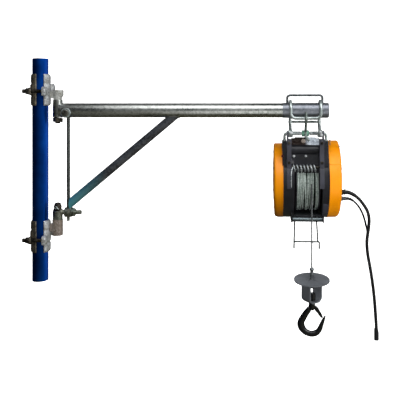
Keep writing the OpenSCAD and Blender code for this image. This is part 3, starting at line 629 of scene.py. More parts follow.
# %% Glands and sheaths
for name, exit_point, path, r, lead_r in (("supply", SUPPLY_EXIT, supply_path, 8.0, 5.25),
                                          ("control", CONTROL_EXIT, control_path, 6.4, 3.25)):
    mouth = exit_point / MM
    ribs = [(0, -18.6), (r + 1.2, -18.6), (r + 1.2, -14.6), (r - 0.6, -14.0)]
    for k in range(3):
        h = -13.2 + 3.6 * k
        ribs += [(r - 0.8, h), (r, h + 0.6), (r, h + 2.0), (r - 0.8, h + 2.6)]
    ribs += [(r - 0.6, -2.0), (r - 1.2, -0.2), (0, -0.2)]
    sleeve = lathe(ribs, mouth, (1, 0, 0), 36)
    collar = nut(2 * r + 0.6, 4.6, mouth + Vector((-14.2, 0, 0)), (1, 0, 0), 0.2)
    along = [0.0]
    for p, q in zip(path, path[1:]):
        along.append(along[-1] + (q - p).length)
    reach = 34 if name == "supply" else 26
    run = [(p, s) for p, s in zip(path, along) if s <= reach]
    sheath = sweep([p for p, s in run], [lead_r + 0.25 + (r - 1.6 - lead_r) * (1 - s / reach) for p, s in run], 24)
    if name == "supply":
        piece("gland_sleeves_supply", join(sleeve, collar), "hoist", FINISH["rubber"],
              ["cable_glands"])
    else:
        piece("gland_sleeves_control", join(sleeve, collar), "hoist", FINISH["grey_gland"])
    piece(name + "_lead_sheath", sheath, "hoist", FINISH["rubber"])
ties = [rod([(955, 58, 279.4), (962, 57, 282.5), (971, 56, 281)], 0.8, 8),
        rod([(957, 54, 279), (966, 51, 285.5), (969, 50, 287.5)], 0.8, 8)]
piece("cable_tie_ends", join(*ties), "hoist", FINISH["lip_zinc"])
print("glands and sheaths done")
# %% [markdown]
# ## Couplers
# A scaffold coupler is a drop forging in two halves: a saddle that carries the load and a flap that closes
# behind it. Forgings have no sharp edges and no constant thickness, so each half is a grid of points whose wall
# is a sum of smooth bumps: thick rims, a thinner web between them and a boss at mid height.

# %% Forged halves
POLE_R = 24.2
BOLT_Y = 34.65
BOLT_Z = {"upper": (591.0, 603.0), "lower": (131.5, 148.0)}


def bump(x, centre, width):
    """A smooth hill of height one."""
    t = abs(x - centre) / width
    return 0.5 + 0.5 * math.cos(math.pi * t) if t < 1 else 0.0


def step_up(x, start, end):
    t = min(1.0, max(0.0, (x - start) / (end - start)))
    return t * t * (3 - 2 * t)


def forged_shell(z0, start, end, wall, height=98):
    columns, rows = 40, 56
    points, faces = [], []
    for i in range(columns + 1):
        a = math.radians(start + (end - start) * i / columns)
        middle = bump(i / columns, 0.5, 0.42)
        edge = step_up(min(i, columns - i), 0, 3)
        for j in range(rows + 1):
            h = height * (j / rows - 0.5)
            rim = step_up(abs(h), 20, 24) - 0.55 * step_up(abs(h), 40, 49)
            boss = 1 - step_up(abs(h), 13, 21)
            t = wall * (0.55 + 0.3 * rim) + boss * (2.2 + 1.6 * middle)
            t *= 0.75 + 0.25 * edge
            t *= 1 - 0.5 * step_up(abs(h), 46, 49)
            r = POLE_R + min(t, wall + 1.9)
            points.append(Vector((r * math.cos(a), r * math.sin(a), z0 + h)))
    inner = len(points)
    for i in range(columns + 1):
        a = math.radians(start + (end - start) * i / columns)
        for j in range(rows + 1):
            points.append(Vector((POLE_R * math.cos(a), POLE_R * math.sin(a), z0 + height * (j / rows - 0.5))))
    w = rows + 1
    for i in range(columns):
        for j in range(rows):
            a = i * w + j
            faces.append((a, a + w, a + w + 1, a + 1))
            faces.append((inner + a, inner + a + 1, inner + a + w + 1, inner + a + w))
        for j in (0, rows):
            a = i * w + j
            faces.append((a, a + w, inner + a + w, inner + a))
    for i in (0, columns):
        for j in range(rows):
            a = i * w + j
            faces.append((a, a + 1, inner + a + 1, inner + a))
    return points, faces


def lug(x0, x1, y, z, half_y, half_z, round_=4.0):
    """A rounded ear that a bolt passes through."""
    corner = [(half_y - round_, half_z - round_), (round_ - half_y, half_z - round_),
              (round_ - half_y, round_ - half_z), (half_y - round_, round_ - half_z)]
    outline = []
    for k, (cy, cz) in enumerate(corner):
        for s in range(6):
            a = math.radians(90 * k + 18 * s)
            outline.append((cy + round_ * math.cos(a), cz + round_ * math.sin(a)))
    way = 1 if x1 > x0 else -1
    rows = [(x0, 0.86), (x0 + 1.5 * way, 1.0), (x1 - 2.5 * way, 1.0), (x1 - 0.8 * way, 0.9), (x1, 0.76)]
    points = [Vector((x, y + oy * k, z + oz * k)) for x, k in rows for oy, oz in outline]
    n = len(outline)
    faces = [(r * n + k, r * n + (k + 1) % n, (r + 1) * n + (k + 1) % n, (r + 1) * n + k)
             for r in range(len(rows) - 1) for k in range(n)]
    faces += [tuple(reversed(range(n))), tuple(range(len(points) - n, len(points)))]
    return points, faces


for level, z0 in (("upper", 596.0), ("lower", 139.0)):
    saddle = [forged_shell(z0, -46, 46, 8.2)]
    flap = [forged_shell(z0, 96, 264, 5.0)]
    for side, z in zip((-1, 1), BOLT_Z[level]):
        saddle.append(lug(19.6, 30.5, side * 29.9, z, 13.0, 14.0, 6.0))
        saddle.append(lathe([(12.5, 0), (12.5, 3.0), (11.4, 5.0), (8.6, 6.6), (4.0, 7.4), (0, 7.6)],
                            (25.6, side * 31.5, z), (1, 0, 0), 32))
        flap.append(lug(-14.4, -23.0, side * 31.4, z, 11.0, 11.5, 5.0))
        flap.append(sweep([(-4.6, side * 26.2, z0 - 48 + 4 * i) for i in range(25)],
                          [1.6] + [2.9 + 0.9 * bump(i, 12, 7) for i in range(23)] + [1.6], 14))
    piece(level + "_coupler_saddle_forging", join(*saddle), "pole", FINISH["forged_zinc"],
          [level + "_coupler_saddle"])
    # The flap wears the darker forging: painted shade.
    piece(level + "_coupler_flap_forging", join(*flap), "pole", FINISH["flap_forging_painted_shade"],
          [level + "_coupler_flap"])
print("coupler halves forged")

# %% [markdown]
# The two halves are drawn together by T-bolts. The head hinges in the saddle, the shank passes the pole, and a
# flanged nut bears on the flap. Only the free end carries a thread.

# %% Coupler bolts
for level, z0 in (("upper", 596.0), ("lower", 139.0)):
    parts = []
    for side, z in zip((-1, 1), BOLT_Z[level]):
        y = side * BOLT_Y
        parts.append(rod([(-26, y, z), (28.5, y, z)], 5.6, 24))
        parts.append(thread(6.4, 17.6, 1.75, (-24.2, y, z), (-1, 0, 0)))
        parts.append(lathe([(0, 0), (5.2, 0), (5.2, 17.4), (4.6, 17.7), (0, 17.7)], (-24.2, y, z), (-1, 0, 0), 24))
        parts.append(nut(17, 7.5, (-23.6, y, z), (-1, 0, 0), 0.3 + side * 0.4))
        parts.append(lathe([(0, 0), (9.6, 0), (9.8, 0.8), (8.6, 1.6), (0, 1.6)], (-22.6, y, z), (-1, 0, 0), 32))
    piece(level + "_coupler_t_bolts", join(*parts), "pole", FINISH["dark_bolt"],
          [level + "_coupler_bolts"])
print("four T-bolts, M12 with a 1.75 mm pitch")

# %% [markdown]
# ## Pivots
# The jib turns on two pins in line. The upper lug is part of the saddle's forging and its pin hangs down through
# the arm's hub to a nut. The lower socket holds a domed pin that the eye bolt turns on, kept by a split pin.

# %% Pivots
SWING_X = 55.0
knuckle = [(8.1, 564.2), (12.4, 564.2), (12.8, 565.2), (12.9, 576), (12.7, 594.2), (11.0, 595.8), (0, 596)]
swell = [(0, 573.5), (9.0, 574), (11.8, 576.5), (12.6, 580), (12.6, 593.5), (11.2, 595.6), (0, 595.9)]
piece("upper_pivot_knuckle", join(
         lathe(knuckle, (SWING_X, 0, 0), (0, 0, 1), 48), lathe(swell, (SWING_X + 5.5, 0, 0), (0, 0, 1), 48),
         plate([(-11, -6), (11, -6), (11, 6), (-11, 6)], 22, (43, 0, 570), (0, 0, 1)),
         weld([(33.2, -7.4, 575 + k) for k in range(0, 17, 4)], 1.6),
         weld([(33.2, 7.4, 575 + k) for k in range(0, 17, 4)], 1.6)),
      "pole", FINISH["lug_zinc"], ["upper_pivot_bracket"], bevel=1.0)
piece("upper_pivot_pin_and_nut", join(
    rod([(SWING_X, 0, 509.9), (SWING_X, 0, 588)], 8, 32),
    lathe([(0, 0), (12.6, 0), (12.6, -1.2), (0, -1.2)], (SWING_X, 0, 510.6), (0, 0, 1), 40),
    nut(26, 13.0, (SWING_X, 0, 495.4), (0.08, 0, 1), 0.35),
    thread(8, 6, 2, (SWING_X, 0, 497), (0, 0, -1)),
), "pole", FINISH["dark_bolt"], ["upper_pivot_pin"])
softened("lower_pivot_socket", "galvanised_steel", FINISH["brown_forging"], 1.6,
         weld([(33.2, -6.6, 153.5 + k) for k in range(0, 21, 4)], 1.6),
         weld([(33.2, 6.6, 153.5 + k) for k in range(0, 21, 4)], 1.6))
dome = [(0, 243)] + [(10 * math.sin(math.radians(a)), 238 + 5 * math.cos(math.radians(a))) for a in range(10, 91, 10)]
piece("lower_pivot_pin_and_split_pin", join(
    lathe(dome + [(10, 149), (0, 149)], (SWING_X, 0, 0), (0, 0, 1), 40),
    lathe([(0, 218.4), (14.2, 218.4), (14.2, 220.6), (0, 220.6)], (SWING_X, 0, 0), (0, 0, 1), 40),
    nut(22.5, 14, (SWING_X, 0, 220.7), (0, 0, 1), 0.25),
), "pole", FINISH["dark_bolt"], ["lower_pivot_pin"])
piece("split_pin", join(
    rod(bent([(55, -15.5, 226), (55, -11, 227), (55, 13, 227), (59, 15.2, 229)], 2), 1.6, 10),
    rod(bent([(55, 13, 227.4), (55, 15.4, 226), (52.5, 16.4, 224)], 1.5), 1.4, 10),
    rod(arc((55, -15.6, 229), 3.4, 0, 360, 20, (1, 0, 0), (0, 0, 1)), 1.3, 10),
    rod(bent([(57, -15.2, 228), (60.5, -15.6, 226.4), (64, -16, 224.4)], 2), 1.5, 10),
), "pole", FINISH["bright"])
print("pins drawn; the split pin has its eye and two bent legs")

# %% [markdown]
# ## The jib
# The arm is a galvanised tube with its nose in a dark sleeve. At the root it is welded to a turned hub. The
# upright rod hangs inside the triangle from a bolt through the arm and stands on a collar on the eye bolt, where
# the brace starts too. The tubes keep their solids; the fasteners, welds and the eye bolt are drawn afresh.

# %% Arm root
ARM_Z = 532.0
seam = [(63.4, side * 12.6, z) for side in (-1,) for z in range(513, 553, 4)]
softened("arm_hub", "galvanised_steel", FINISH["zinc"], 1.2,
         weld(seam, 1.8), weld([(x, -y, z) for x, y, z in seam], 1.8))
bolt_z = ARM_Z - 8
parts, nuts = [rod([(89, -24, bolt_z), (89, 24, bolt_z)], 5.9, 24)], []
for side in (-1, 1):
    out = (0, side, 0)
    parts.append(lathe([(0, 0), (14.6, 0), (15, 0.5), (15, 1.9), (14.4, 2.4), (0, 2.4)],
                       (89, side * 22.35, bolt_z), out, 48))
    nuts.append(nut(19, 7.6, (89, side * 24.8, bolt_z), out, 0.5))
nuts.append(lathe([(0, 8.3), (6.5, 8.2), (6.9, 7.6), (6.9, 7.4)], (89, -24.4, bolt_z), (0, -1, 0), 32))
piece("cross_bolt_nuts", join(*nuts), "jib", FINISH["bolt"])
piece("tie_rod_cross_bolt", join(*parts), "jib", FINISH["bright"], ["tie_rod_bolt"])

# %% [markdown]
# The brace is a smaller tube, cut to the arm's round and welded all the way. Its foot is welded to the collar.
# The weld follows the cut, so its path is worked out from both tubes: points on the brace's skin that are also
# at the arm's radius.

# %% Brace welds
foot, head = Vector((89, 0, 236)), Vector((417, 0, 509.75))
along = (head - foot).normalized()
side_way, up_way = Vector((0, 1, 0)), along.cross(Vector((0, 1, 0)))
ring = []
for k in range(49):
    a = 2 * math.pi * k / 48
    skin = 13.45 * (math.cos(a) * side_way + math.sin(a) * up_way)
    start = foot + skin
    y = start.y
    target = ARM_Z - math.sqrt(22.4 ** 2 - y * y)
    ring.append(start + along * ((target - start.z) / along.z) + Vector((0, 0, -0.5)))
piece("brace_head_weld", weld(ring, 2.2), "jib", FINISH["weld"])
collar = arc((98.4, 0, 213), 14.6, 25, 155, 13, (0, -1, 0), (0, 0, 1))
piece("brace_foot_weld", weld(collar, 1.6), "jib", FINISH["weld"])
softened("brace_collar", "galvanised_steel", FINISH["olive_zinc"], 1.0)
eye_parts = [
    lathe([(10.05, 190.3), (13.8, 190.3), (15, 191.5), (15, 216.8), (13.8, 218), (10.05, 218), (10.05, 190.3)],
          (SWING_X, 0, 0), (0, 0, 1), 48),
    sweep([(67, 0, 213), (72, 0, 213), (78, 0, 213), (99, 0, 213)], [9.5, 7.6, 7, 7], 32),
    thread(7, 31, 2, (99, 0, 213), (1, 0, 0)),
    nut(24, 11.6, (98.7, 0, 213), (1, 0, 0), 0.2),
]
piece("lower_eye_bolt_forging", join(*eye_parts), "jib", FINISH["olive_zinc"],
      ["lower_eye_bolt"])
print("brace weld is", round(sum((b - a).length for a, b in zip(ring, ring[1:]))), "mm round")

# %% [markdown]
# ## Bail and carrying handle
# The hoist hangs from one bent rod, as a coat hanger is one wire: up from an eye, over the sleeve, down its
# front, across and back the same way. One swept path gives that. The handle is a lighter rod welded to the
# sleeve behind the bail.

# %% Bail
HOIST_X, SHAFT_Z = 829.0, 461.0
REACH = 28.55
left, right = HOIST_X - 45.5, HOIST_X + 45.5


def over_sleeve(x, start, end):
    return arc((x, 0, ARM_Z), REACH, start, end, 24, (0, 1, 0), (0, 0, 1))


rise = bent([(left, 4, 463), (left, REACH, 486), (left, REACH, ARM_Z)], 12)
front = bent([(left, -REACH, ARM_Z), (left, -REACH, 508), (right, -REACH, 508), (right, -REACH, ARM_Z)], 18, 12)
fall = [Vector((2 * HOIST_X - p.x, p.y, p.z)) for p in reversed(rise)]
route = rise + over_sleeve(left, 0, 180)[1:-1] + front + over_sleeve(right, 180, 0)[1:-1] + fall
parts = [rod(route, 5, 24), rod([(left + 3, REACH, 496), (right - 3, REACH, 496)], 4, 20)]
for x in (left, right):
    parts.append(lathe([(4.1, -6), (10.8, -6), (12, -5), (12, 5), (10.8, 6), (4.1, 6), (4.1, -6)],
                       (x, 0, SHAFT_Z), (1, 0, 0), 40))
    parts.append(weld(arc((x, REACH, 496), 5.2, 40, 320, 12, (math.copysign(1, HOIST_X - x), 0, 0), (0, 0, 1)), 1.0))
piece("bail_bent_rod", join(*parts), "jib", FINISH["bright"], ["bail"])
y = REACH * math.sin(math.radians(45))
grip = bent([(HOIST_X - 54.65, y, 549.6), (HOIST_X - 54.65, y, 579),
             (HOIST_X + 54.65, y, 579), (HOIST_X + 54.65, y, 549.6)], 10, 10)
feet = [lathe([(0, 0), (5.4, 0), (4.9, 1.4), (4.0, 2.6), (0, 2.6)], (HOIST_X + s * 54.65, y, 549.3), (0, 0.1, 1), 24)
        for s in (-1, 1)]
piece("carry_handle_rod", join(rod(grip, 4, 20), *feet), "jib", FINISH["grey_rod"], ["carry_handle"])
print("bail rod is", round(sum((b - a).length for a, b in zip(route, route[1:]))), "mm long")

# %% [markdown]
# ## Suspension shaft and keeper
# The hoist's straps and the bail's eyes share one bent shaft. Between the eyes a keeper lever swings on it,
# pushed against the bail by two torsion springs, so that the bail can't jump off the sleeve.

# %% Shaft, springs and keeper
shaft = bent([(765, 0, 437.2), (765, 0, SHAFT_Z), (893, 0, SHAFT_Z), (893, 0, 437.2)], 9, 10)
washers = []
for x, way in ((776.3, -1), (881.7, 1)):
    washers.append(lathe([(4.1, 0), (7.4, 0), (7.4, 1.2), (4.1, 1.2)], (x + way * 5, 0, SHAFT_Z), (way, 0, 0), 32))
for x in (765, 893):
    washers.append(nut(10, 5, (x, 0, 437.4), (0, 0, 1), 0.3))
piece("suspension_shaft_rod", join(rod(shaft, 4, 24), *washers), "hoist", FINISH["bright"],
      ["suspension_shaft"])


def helix(x0, x1, turns, radius, y, z, steps=18, start=0.0):
    count = int(turns * steps)
    return [(x0 + (x1 - x0) * i / count,
             y + radius * math.cos(2 * math.pi * i / steps + start),
             z + radius * math.sin(2 * math.pi * i / steps + start)) for i in range(count + 1)]


coils = [sweep(helix(790.2, 815.5, 9, 5.6, 0, SHAFT_Z), 1.15, 8),
         sweep(helix(842.5, 867.8, 9, 5.6, 0, SHAFT_Z), 1.15, 8),
         rod([(790.2, 5.6, SHAFT_Z), (790.2, 6.2, 452), (790.2, 6, 449)], 1.15, 8),
         rod([(867.8, 5.6, SHAFT_Z), (867.8, 6.2, 452), (867.8, 6, 449)], 1.15, 8)]
piece("keeper_torsion_springs", join(*coils), "hoist", FINISH["spring"])
hub = [(4.1, -11), (8.8, -11), (9.8, -10), (9.8, -2.4), (8.0, -1.6), (8.0, 1.6), (9.8, 2.4), (9.8, 10),
       (8.8, 11), (4.1, 11), (4.1, -11)]
lever = bent([(829, -38.05, 525.8), (829, -38.05, 504), (829, -10, 466), (829, -9, 456), (831, -13, 449),
              (840, -17.6, 438.4)], 12, 10)
lever_r = [4.0] * len(lever)
lever_r[0], lever_r[-1] = 3.0, 3.2
piece("keeper_lever_rod", sweep(lever, lever_r, 20), "keeper", FINISH["lever_zinc"],
      ["keeper_lever"])
piece("keeper_hub", lathe(hub, (829, 0, SHAFT_Z), (1, 0, 0), 48), "keeper", FINISH["green_zinc"])
dome = [(0, 0), (5.4, 0), (5.6, 0.8), (5.0, 2.6), (3.2, 4.0), (0, 4.4)]
caps = [lathe(dome, place, way, 28) for place, way in (
    ((778.5, -3.5, 456.5), (-0.3, -1, 0)), ((786.0, -11.2, 462.5), (0.2, -1, 0.3)),
    ((874.5, -11.2, 464.5), (-0.2, -1, 0.4)), ((877.5, -10.2, 456.5), (0.3, -1, 0.1)))]
piece("shaft_cap_nuts", join(*caps), "hoist", FINISH["screw_zinc"])
print("keeper and its springs: nine coils each side")

# %% [markdown]
# ## Straps, top plate and spacer
# Two flat bars carry the whole hoist from the shaft. A bright plate and a black spacer tube hold them apart, and
# hexagon screws go through into both.

# %% Straps and plates
screws = []
for x, way in ((771.8, -1), (886.2, 1)):
    screws.append(nut(8, 3, (x, -4, 440), (way, 0, 0)))
faces_up = [nut(9, 3.4, (779, -13.9, z), (0, -1, 0), 0.2) for z in (432, 372)]
faces_up += [nut(9, 3.4, (879, -13.9, z), (0, -1, 0), 0.4) for z in (432, 372)]
softened("hanger_straps", "black_paint", FINISH["strap_black"], 1.0)
piece("strap_screws", join(*faces_up), "hoist", FINISH["dark_bolt"])
softened("top_plate", "black_paint", FINISH["plate_zinc"], 0.8,
         nut(8, 3.2, (800, 3.1, 436), (0, -1, 0)), nut(8, 3.2, (858, 3.1, 436), (0, -1, 0), 0.3))
plate_nut = nut(13, 4.4, (823, 3.0, 437), (0, -1, 0), 0.25)
plate_shank = rod([(823, 3, 437), (823, 9.4, 437)], 4.6)
piece("top_plate_screw", join(plate_nut, plate_shank), "hoist", FINISH["brown_forging"])
tube = [(0, 0), (13.4, 0), (15, 1.2), (15, 84.5), (13.4, 85.7), (0, 85.7)]
piece("spacer_tube_turned", lathe(tube, (786.15, 16, 409.2), (1, 0, 0), 56), "hoist",
      FINISH["black"], ["spacer_tube"])
bright = [lathe([(0, 0), (3.9, 0), (3.9, 1.4), (2.9, 2.8), (0, 3.2)], (x, y, z), (0, -1, 0.1), 24)
          for x, y, z in ((794.0, -0.6, 391.0), (830.6, -0.8, 391.2))]
piece("spacer_screws", join(*bright), "hoist", FINISH["screw_zinc"])
print("straps, plate and spacer done")

# %% [markdown]
# ## Casings and covers
# Two black casings carry the drum between them, and an orange cover closes each. The covers are deep-drawn
# steel: a flange with a small outward lip, a side wall, a broad shoulder and a nearly flat face with a shallow
# raised ring that stiffens it. The shoulder isn't the same all round, so the profile is worked out for each angle.

# %% Covers
DRUM_Y, DRUM_Z = 97.5, 305.0


def pressed_cover(x0, way, radius, depth, rise, shoulder, dents=()):
    """A drawn cover from the casing's face at x0 outwards. shoulder(angle) gives where the side wall ends, how far
    in the face begins and how deep it is there; from that edge the face swells to its full depth."""
    around, faces, points = 168, [], []
    for k in range(around):
        a = 2 * math.pi * k / around
        wall, inward, brim, swell = shoulder(a)
        edge = radius - 0.9 - inward
        profile = [(radius - 3.2, 0.0), (radius, 0.0), (radius, 2.2), (radius - 0.9, 3.0)]
        profile += [(radius - 0.9, 3.0 + (wall - 3.0) * t) for t in (0.35, 0.7)]
        for i in range(11):
            t = math.radians(9 * i)
            profile.append((edge + inward * math.cos(t) ** 0.8, wall + (brim - wall) * math.sin(t) ** 0.9))
        for t in (0.9, 0.8, 0.68, 0.64, 0.58, 0.52, 0.48, 0.36, 0.2, 0.14):
            lift = 1.1 if 0.5 < t < 0.66 else 0.0
            profile.append((edge * t, brim + (depth - 1.2 - brim) * (1 - t ** swell) + lift))
        rows = len(profile)
        for r, h in profile:
            p = Vector((x0 + way * h, DRUM_Y + r * math.cos(a), DRUM_Z + rise + r * math.sin(a)))
            for centre, reach, deep in dents:
                gap = (p - Vector(centre)).length / reach
                if gap < 1:
                    p -= Vector((way * deep, 0, 0)) * (1 - gap * gap) ** 2
            points.append(p)
    for k in range(around):
        n = (k + 1) % around
        faces += [(k * rows + j, n * rows + j, n * rows + j + 1, k * rows + j + 1) for j in range(rows - 1)]
    faces.append(tuple(k * rows + rows - 1 for k in range(around)))
    faces.append(tuple(k * rows for k in reversed(range(around))))
    return points, faces


def seam_cut(thing, level, depth=0.9, half=0.8):
    """Cut a narrow groove where two pressings meet, level with the ground."""
    work = bmesh.new()
    work.from_mesh(thing.data)
    for z in (level - half, level, level + half):
        bmesh.ops.bisect_plane(work, geom=work.verts[:] + work.edges[:] + work.faces[:],
                               plane_co=(0, 0, z * MM), plane_no=(0, 0, 1), dist=1e-7)
    work.normal_update()
    for v in [v for v in work.verts if abs(v.co.z - level * MM) < 1e-6]:
        v.co -= v.normal * depth * MM
    work.to_mesh(thing.data)
    work.free()
    thing.data.set_sharp_from_angle(angle=math.radians(35))


def left_shoulder(a):
    low = max(0.0, -math.sin(a)) ** 2
    return 21.5 - 10 * low, 7 + 7 * low, 27.8 - 1.5 * low, 2.0


def right_shoulder(a):
    high, low = max(0.0, math.sin(a)) ** 2, max(0.0, -math.sin(a)) ** 2
    return 30 + 4 * high - 6 * low, 12 - 1.5 * high, 38.0 + 0.5 * high - 1.5 * low, 1.8


def screw_head(place, direction, size=4.0):
    """A low pan head with a socket in it."""
    return lathe([(0, 0), (size, 0), (size, size * 0.14), (size * 0.8, size * 0.28), (size * 0.45, size * 0.32),
                  (size * 0.4, size * 0.12), (0, size * 0.12)], place, direction, 24)


left_face, right_face = 760.95, 902.05
orange_left = piece("left_cover_pressing", pressed_cover(left_face, -1, 120.4, 29.5, 0, left_shoulder,
                    dents=(((735, -10, 380), 9, 2.0),)), "hoist", FINISH["orange"], ["left_cover"])
orange_right = piece("right_cover_pressing", pressed_cover(right_face, 1, 124.6, 44.0, 5.3, right_shoulder,
                     dents=(((944, -16, 350), 11, 6.0), ((941, -18, 236), 30, 1.5))),
                     "hoist", FINISH["orange"], ["right_cover"])
seam_cut(orange_right, 366, depth=1.3, half=1.0)
seam_cut(orange_right, 236, depth=0.6, half=1.6)
heads = []
for k in range(6):
    a = math.radians(30 + 60 * k)
    y, z = math.cos(a), math.sin(a)
    heads.append(screw_head((left_face - 28.0, DRUM_Y + 92 * y, DRUM_Z + 92 * z), (-1, 0, 0)))
    heads.append(screw_head((right_face + 42.4, DRUM_Y + 76 * y, DRUM_Z + 5.3 + 76 * z), (1, 0, 0)))
heads.append(screw_head((937, 30, 419), (0.3, -0.2, 1), 3.6))
heads.append(screw_head((936, 60, 186.5), (0.2, -0.2, -1), 3.2))
piece("cover_screws", join(*heads), "hoist", FINISH["dark_bolt"])
latch = block((755, -21.4, 389), (761.5, -19.2, 396))
piece("left_cover_latch", latch, "hoist", FINISH["latch_red"], bevel=0.6)
pin = rod([(906, 14, 424), (906, 14, 442)], 1.5, 12)
knob = lathe([(0, 0), (4.5, 0), (4.5, 3), (3, 4.4), (0, 4.6)], (897, 6, 424), (0, 0, 1), 24)
piece("casing_pins", join(pin, knob), "hoist", FINISH["bolt"])
print("covers drawn with", len(orange_right.data.polygons), "faces on the right one")

# %% [markdown]
# The casings are castings, machined where the covers and the drum's axle sit. The solids are already the right
# shape, so their copies only get worn edges and a flange.

# %% Casings
for node, x0, x1 in (("left_casing", 761.2, 795.0), ("right_casing", 881.0, 902.0)):
    rim = []
    for x, w in ((x0 + 1.0, 2.4), (x1 - 3.4, 2.4)):
        rim.append(lathe([(118.4, 0), (119.35, 0.5), (119.35, w - 0.5), (118.4, w)], (x, DRUM_Y, DRUM_Z), (1, 0, 0),
                         160))
    softened(node, "black_paint", FINISH["black"], 1.4, *rim)
stop = []
for i in range(7):
    a = math.radians(-149 + 5.1 * i)
    c, s = math.cos(a), math.sin(a)
    stop.append((DRUM_Y + 119.2 * c, DRUM_Z + 119.2 * s, DRUM_Y + 121.6 * c, DRUM_Z + 121.6 * s))
points = [Vector((x, row[k], row[k + 1])) for x in (883.5, 900.5) for row in stop for k in (0, 2)]
n = 2 * len(stop)
faces = [(2 * i, 2 * i + 2, 2 * i + 3, 2 * i + 1) for i in range(6)]
faces += [(n + 2 * i, n + 2 * i + 1, n + 2 * i + 3, n + 2 * i + 2) for i in range(6)]
faces += [(2 * i + 1, 2 * i + 3, n + 2 * i + 3, n + 2 * i + 1) for i in range(6)]
faces += [(2 * i, n + 2 * i, n + 2 * i + 2, 2 * i + 2) for i in range(6)]
faces += [(0, 1, n + 1, n), (12, n + 12, n + 13, 13)]
piece("casing_stop_pad", (points, faces), "hoist", FINISH["strap_black"], bevel=0.5)
guard = [(6.2, 396), (6.2, 352), (7.4, 345), (8.0, 338)]
points = [Vector((x, y + t, z)) for x in (786.4, 871.6) for y, z in guard for t in (0, 1.5)]
n = 2 * len(guard)
faces = [(2 * i + t, 2 * i + 2 + t, n + 2 * i + 2 + t, n + 2 * i + t) for i in range(3) for t in (0, 1)]
faces += [(2 * i, 2 * i + 1, 2 * i + 3, 2 * i + 2) for i in range(3)]
faces += [(n + 2 * i, n + 2 * i + 1, n + 2 * i + 3, n + 2 * i + 2) for i in range(3)]
faces += [(0, 1, n + 1, n), (n - 2, n - 1, 2 * n - 1, 2 * n - 2)]
piece("rope_guard_sheet", (points, faces), "hoist", FINISH["black"])
tray = [(28.0, 202.6), (80.0, 202.6)]
tray += [(DRUM_Y + 102 * math.sin(math.radians(t)), DRUM_Z - 102 * math.cos(math.radians(t)))
         for t in range(-8, 57, 8)]
points, faces, n = [], [], 2 * len(tray)
for x in (795.6, 880.4):
    for k, (y, z) in enumerate(tray):
        ahead, behind = tray[min(k + 1, len(tray) - 1)], tray[max(k - 1, 0)]
        along_y, along_z = ahead[0] - behind[0], ahead[1] - behind[1]
        size = math.hypot(along_y, along_z)
        points += [Vector((x, y, z)), Vector((x, y + 1.4 * along_z / size, z - 1.4 * along_y / size))]
for k in range(len(tray) - 1):
    a = 2 * k
    faces += [(a, a + 2, n + a + 2, n + a), (a + 1, n + a + 1, n + a + 3, a + 3), (a, a + 1, a + 3, a + 2),
              (n + a, n + a + 2, n + a + 3, n + a + 1)]
faces += [(0, n, n + 1, 1), (n - 2, n - 1, 2 * n - 1, 2 * n - 2)]
piece("drum_tray_sheet", (points, faces), "hoist", FINISH["black"])
softened("drum", "black_paint", FINISH["black"], 0.8)
softened("bottom_bracket", "black_paint", FINISH["black"], 0.8)
roller = [(0, 0), (2.9, 0), (2.9, 4.9), (4.0, 5.2), (4.5, 5.9), (4.5, 95.1), (4.0, 95.8), (2.9, 96.1), (2.9, 101),
          (0, 101)]
piece("bottom_roller_turned", lathe(roller, (785.5, 8, 195), (1, 0, 0), 40), "hoist",
      FINISH["roller"], ["bottom_roller"])
print("casings, drum, bracket and roller done")

# %% [markdown]
# ## Rope guide
# A spring on a rod between the straps keeps the rope's turns down on the drum. Its coils are drawn as a true
# helix, thicker than rod wire, with one leg hanging down beside the winding.

# %% Guide rod and spring
piece("guide_rod_turned", lathe([(0, 0), (3.4, 0), (4, 0.6), (4, 113.4), (3.4, 114), (0, 114)], (772, -6, 357),
                                (1, 0, 0), 32), "hoist", FINISH["dark_bolt"], ["guide_rod"])
coil = helix(789.4, 862.4, 7, 9.0, -6, 354.4, 28, start=0.0)
coil_r = [2.4] * len(coil)
leg = bent([(790.0, -14.6, 358), (786.6, -20.4, 350), (784.8, -27.4, 340), (784.4, -28.6, 318), (785.2, -28.6, 297)],
           6, 6)
leg_r = [1.9] * len(leg)
leg_r[-1] = 1.0
piece("guide_spring_coil", join(sweep(coil, coil_r, 14), sweep(leg, leg_r, 12)), "hoist",
      FINISH["spring"], ["guide_spring"])
print("guide spring: seven turns, one leg")

# %% [markdown]
# ## The limit lever
# A wire frame hangs through the bottom bracket. When the hook comes up, the disc lifts it and the motor stops.
# It is bent from one wire, with a second wire spot-welded beside it.

# %% Limit lever
left_wire, right_wire, low, bar = 795.2, 873.6, 101.0, 122.8
lever = bent([(right_wire, 17, low), (right_wire, 17, bar), (left_wire, 17, bar)], 3, 6)
piece("limit_lever_wire", join(
    rod([(left_wire, 17, low + 0.2), (left_wire + 1.8, 17, 203)], 2.5, 16),
    rod(lever, 2.5, 16),
    rod(bent([(right_wire - 4.5, 17, bar), (865.5, 17, 186), (865.5, 17, 203)], 8, 6), 2.4, 16),
    weld([(left_wire - 0.6, 16, bar - 2.2), (left_wire - 0.6, 16, bar + 2.2)], 1.8),
    weld([(right_wire - 6.4, 16.4, bar - 0.4), (right_wire - 2.8, 16.4, bar - 0.4)], 1.8),
), "limit_lever", FINISH["wire_grey"], ["limit_lever"])
print("limit lever bent")

# %% [markdown]
# ## Wire rope
# The rope is six strands twisted round a core. At 5 mm across, a real strand is 1.6 mm and the lay, the length
# of one full twist, is about 30 mm. A round section with six lobes that turns once in each lay gives the strands
# and the shadow between them, without drawing a hundred wires.

# %% Rope on the drum
ROPE_R, LAY = 2.5, 30.0


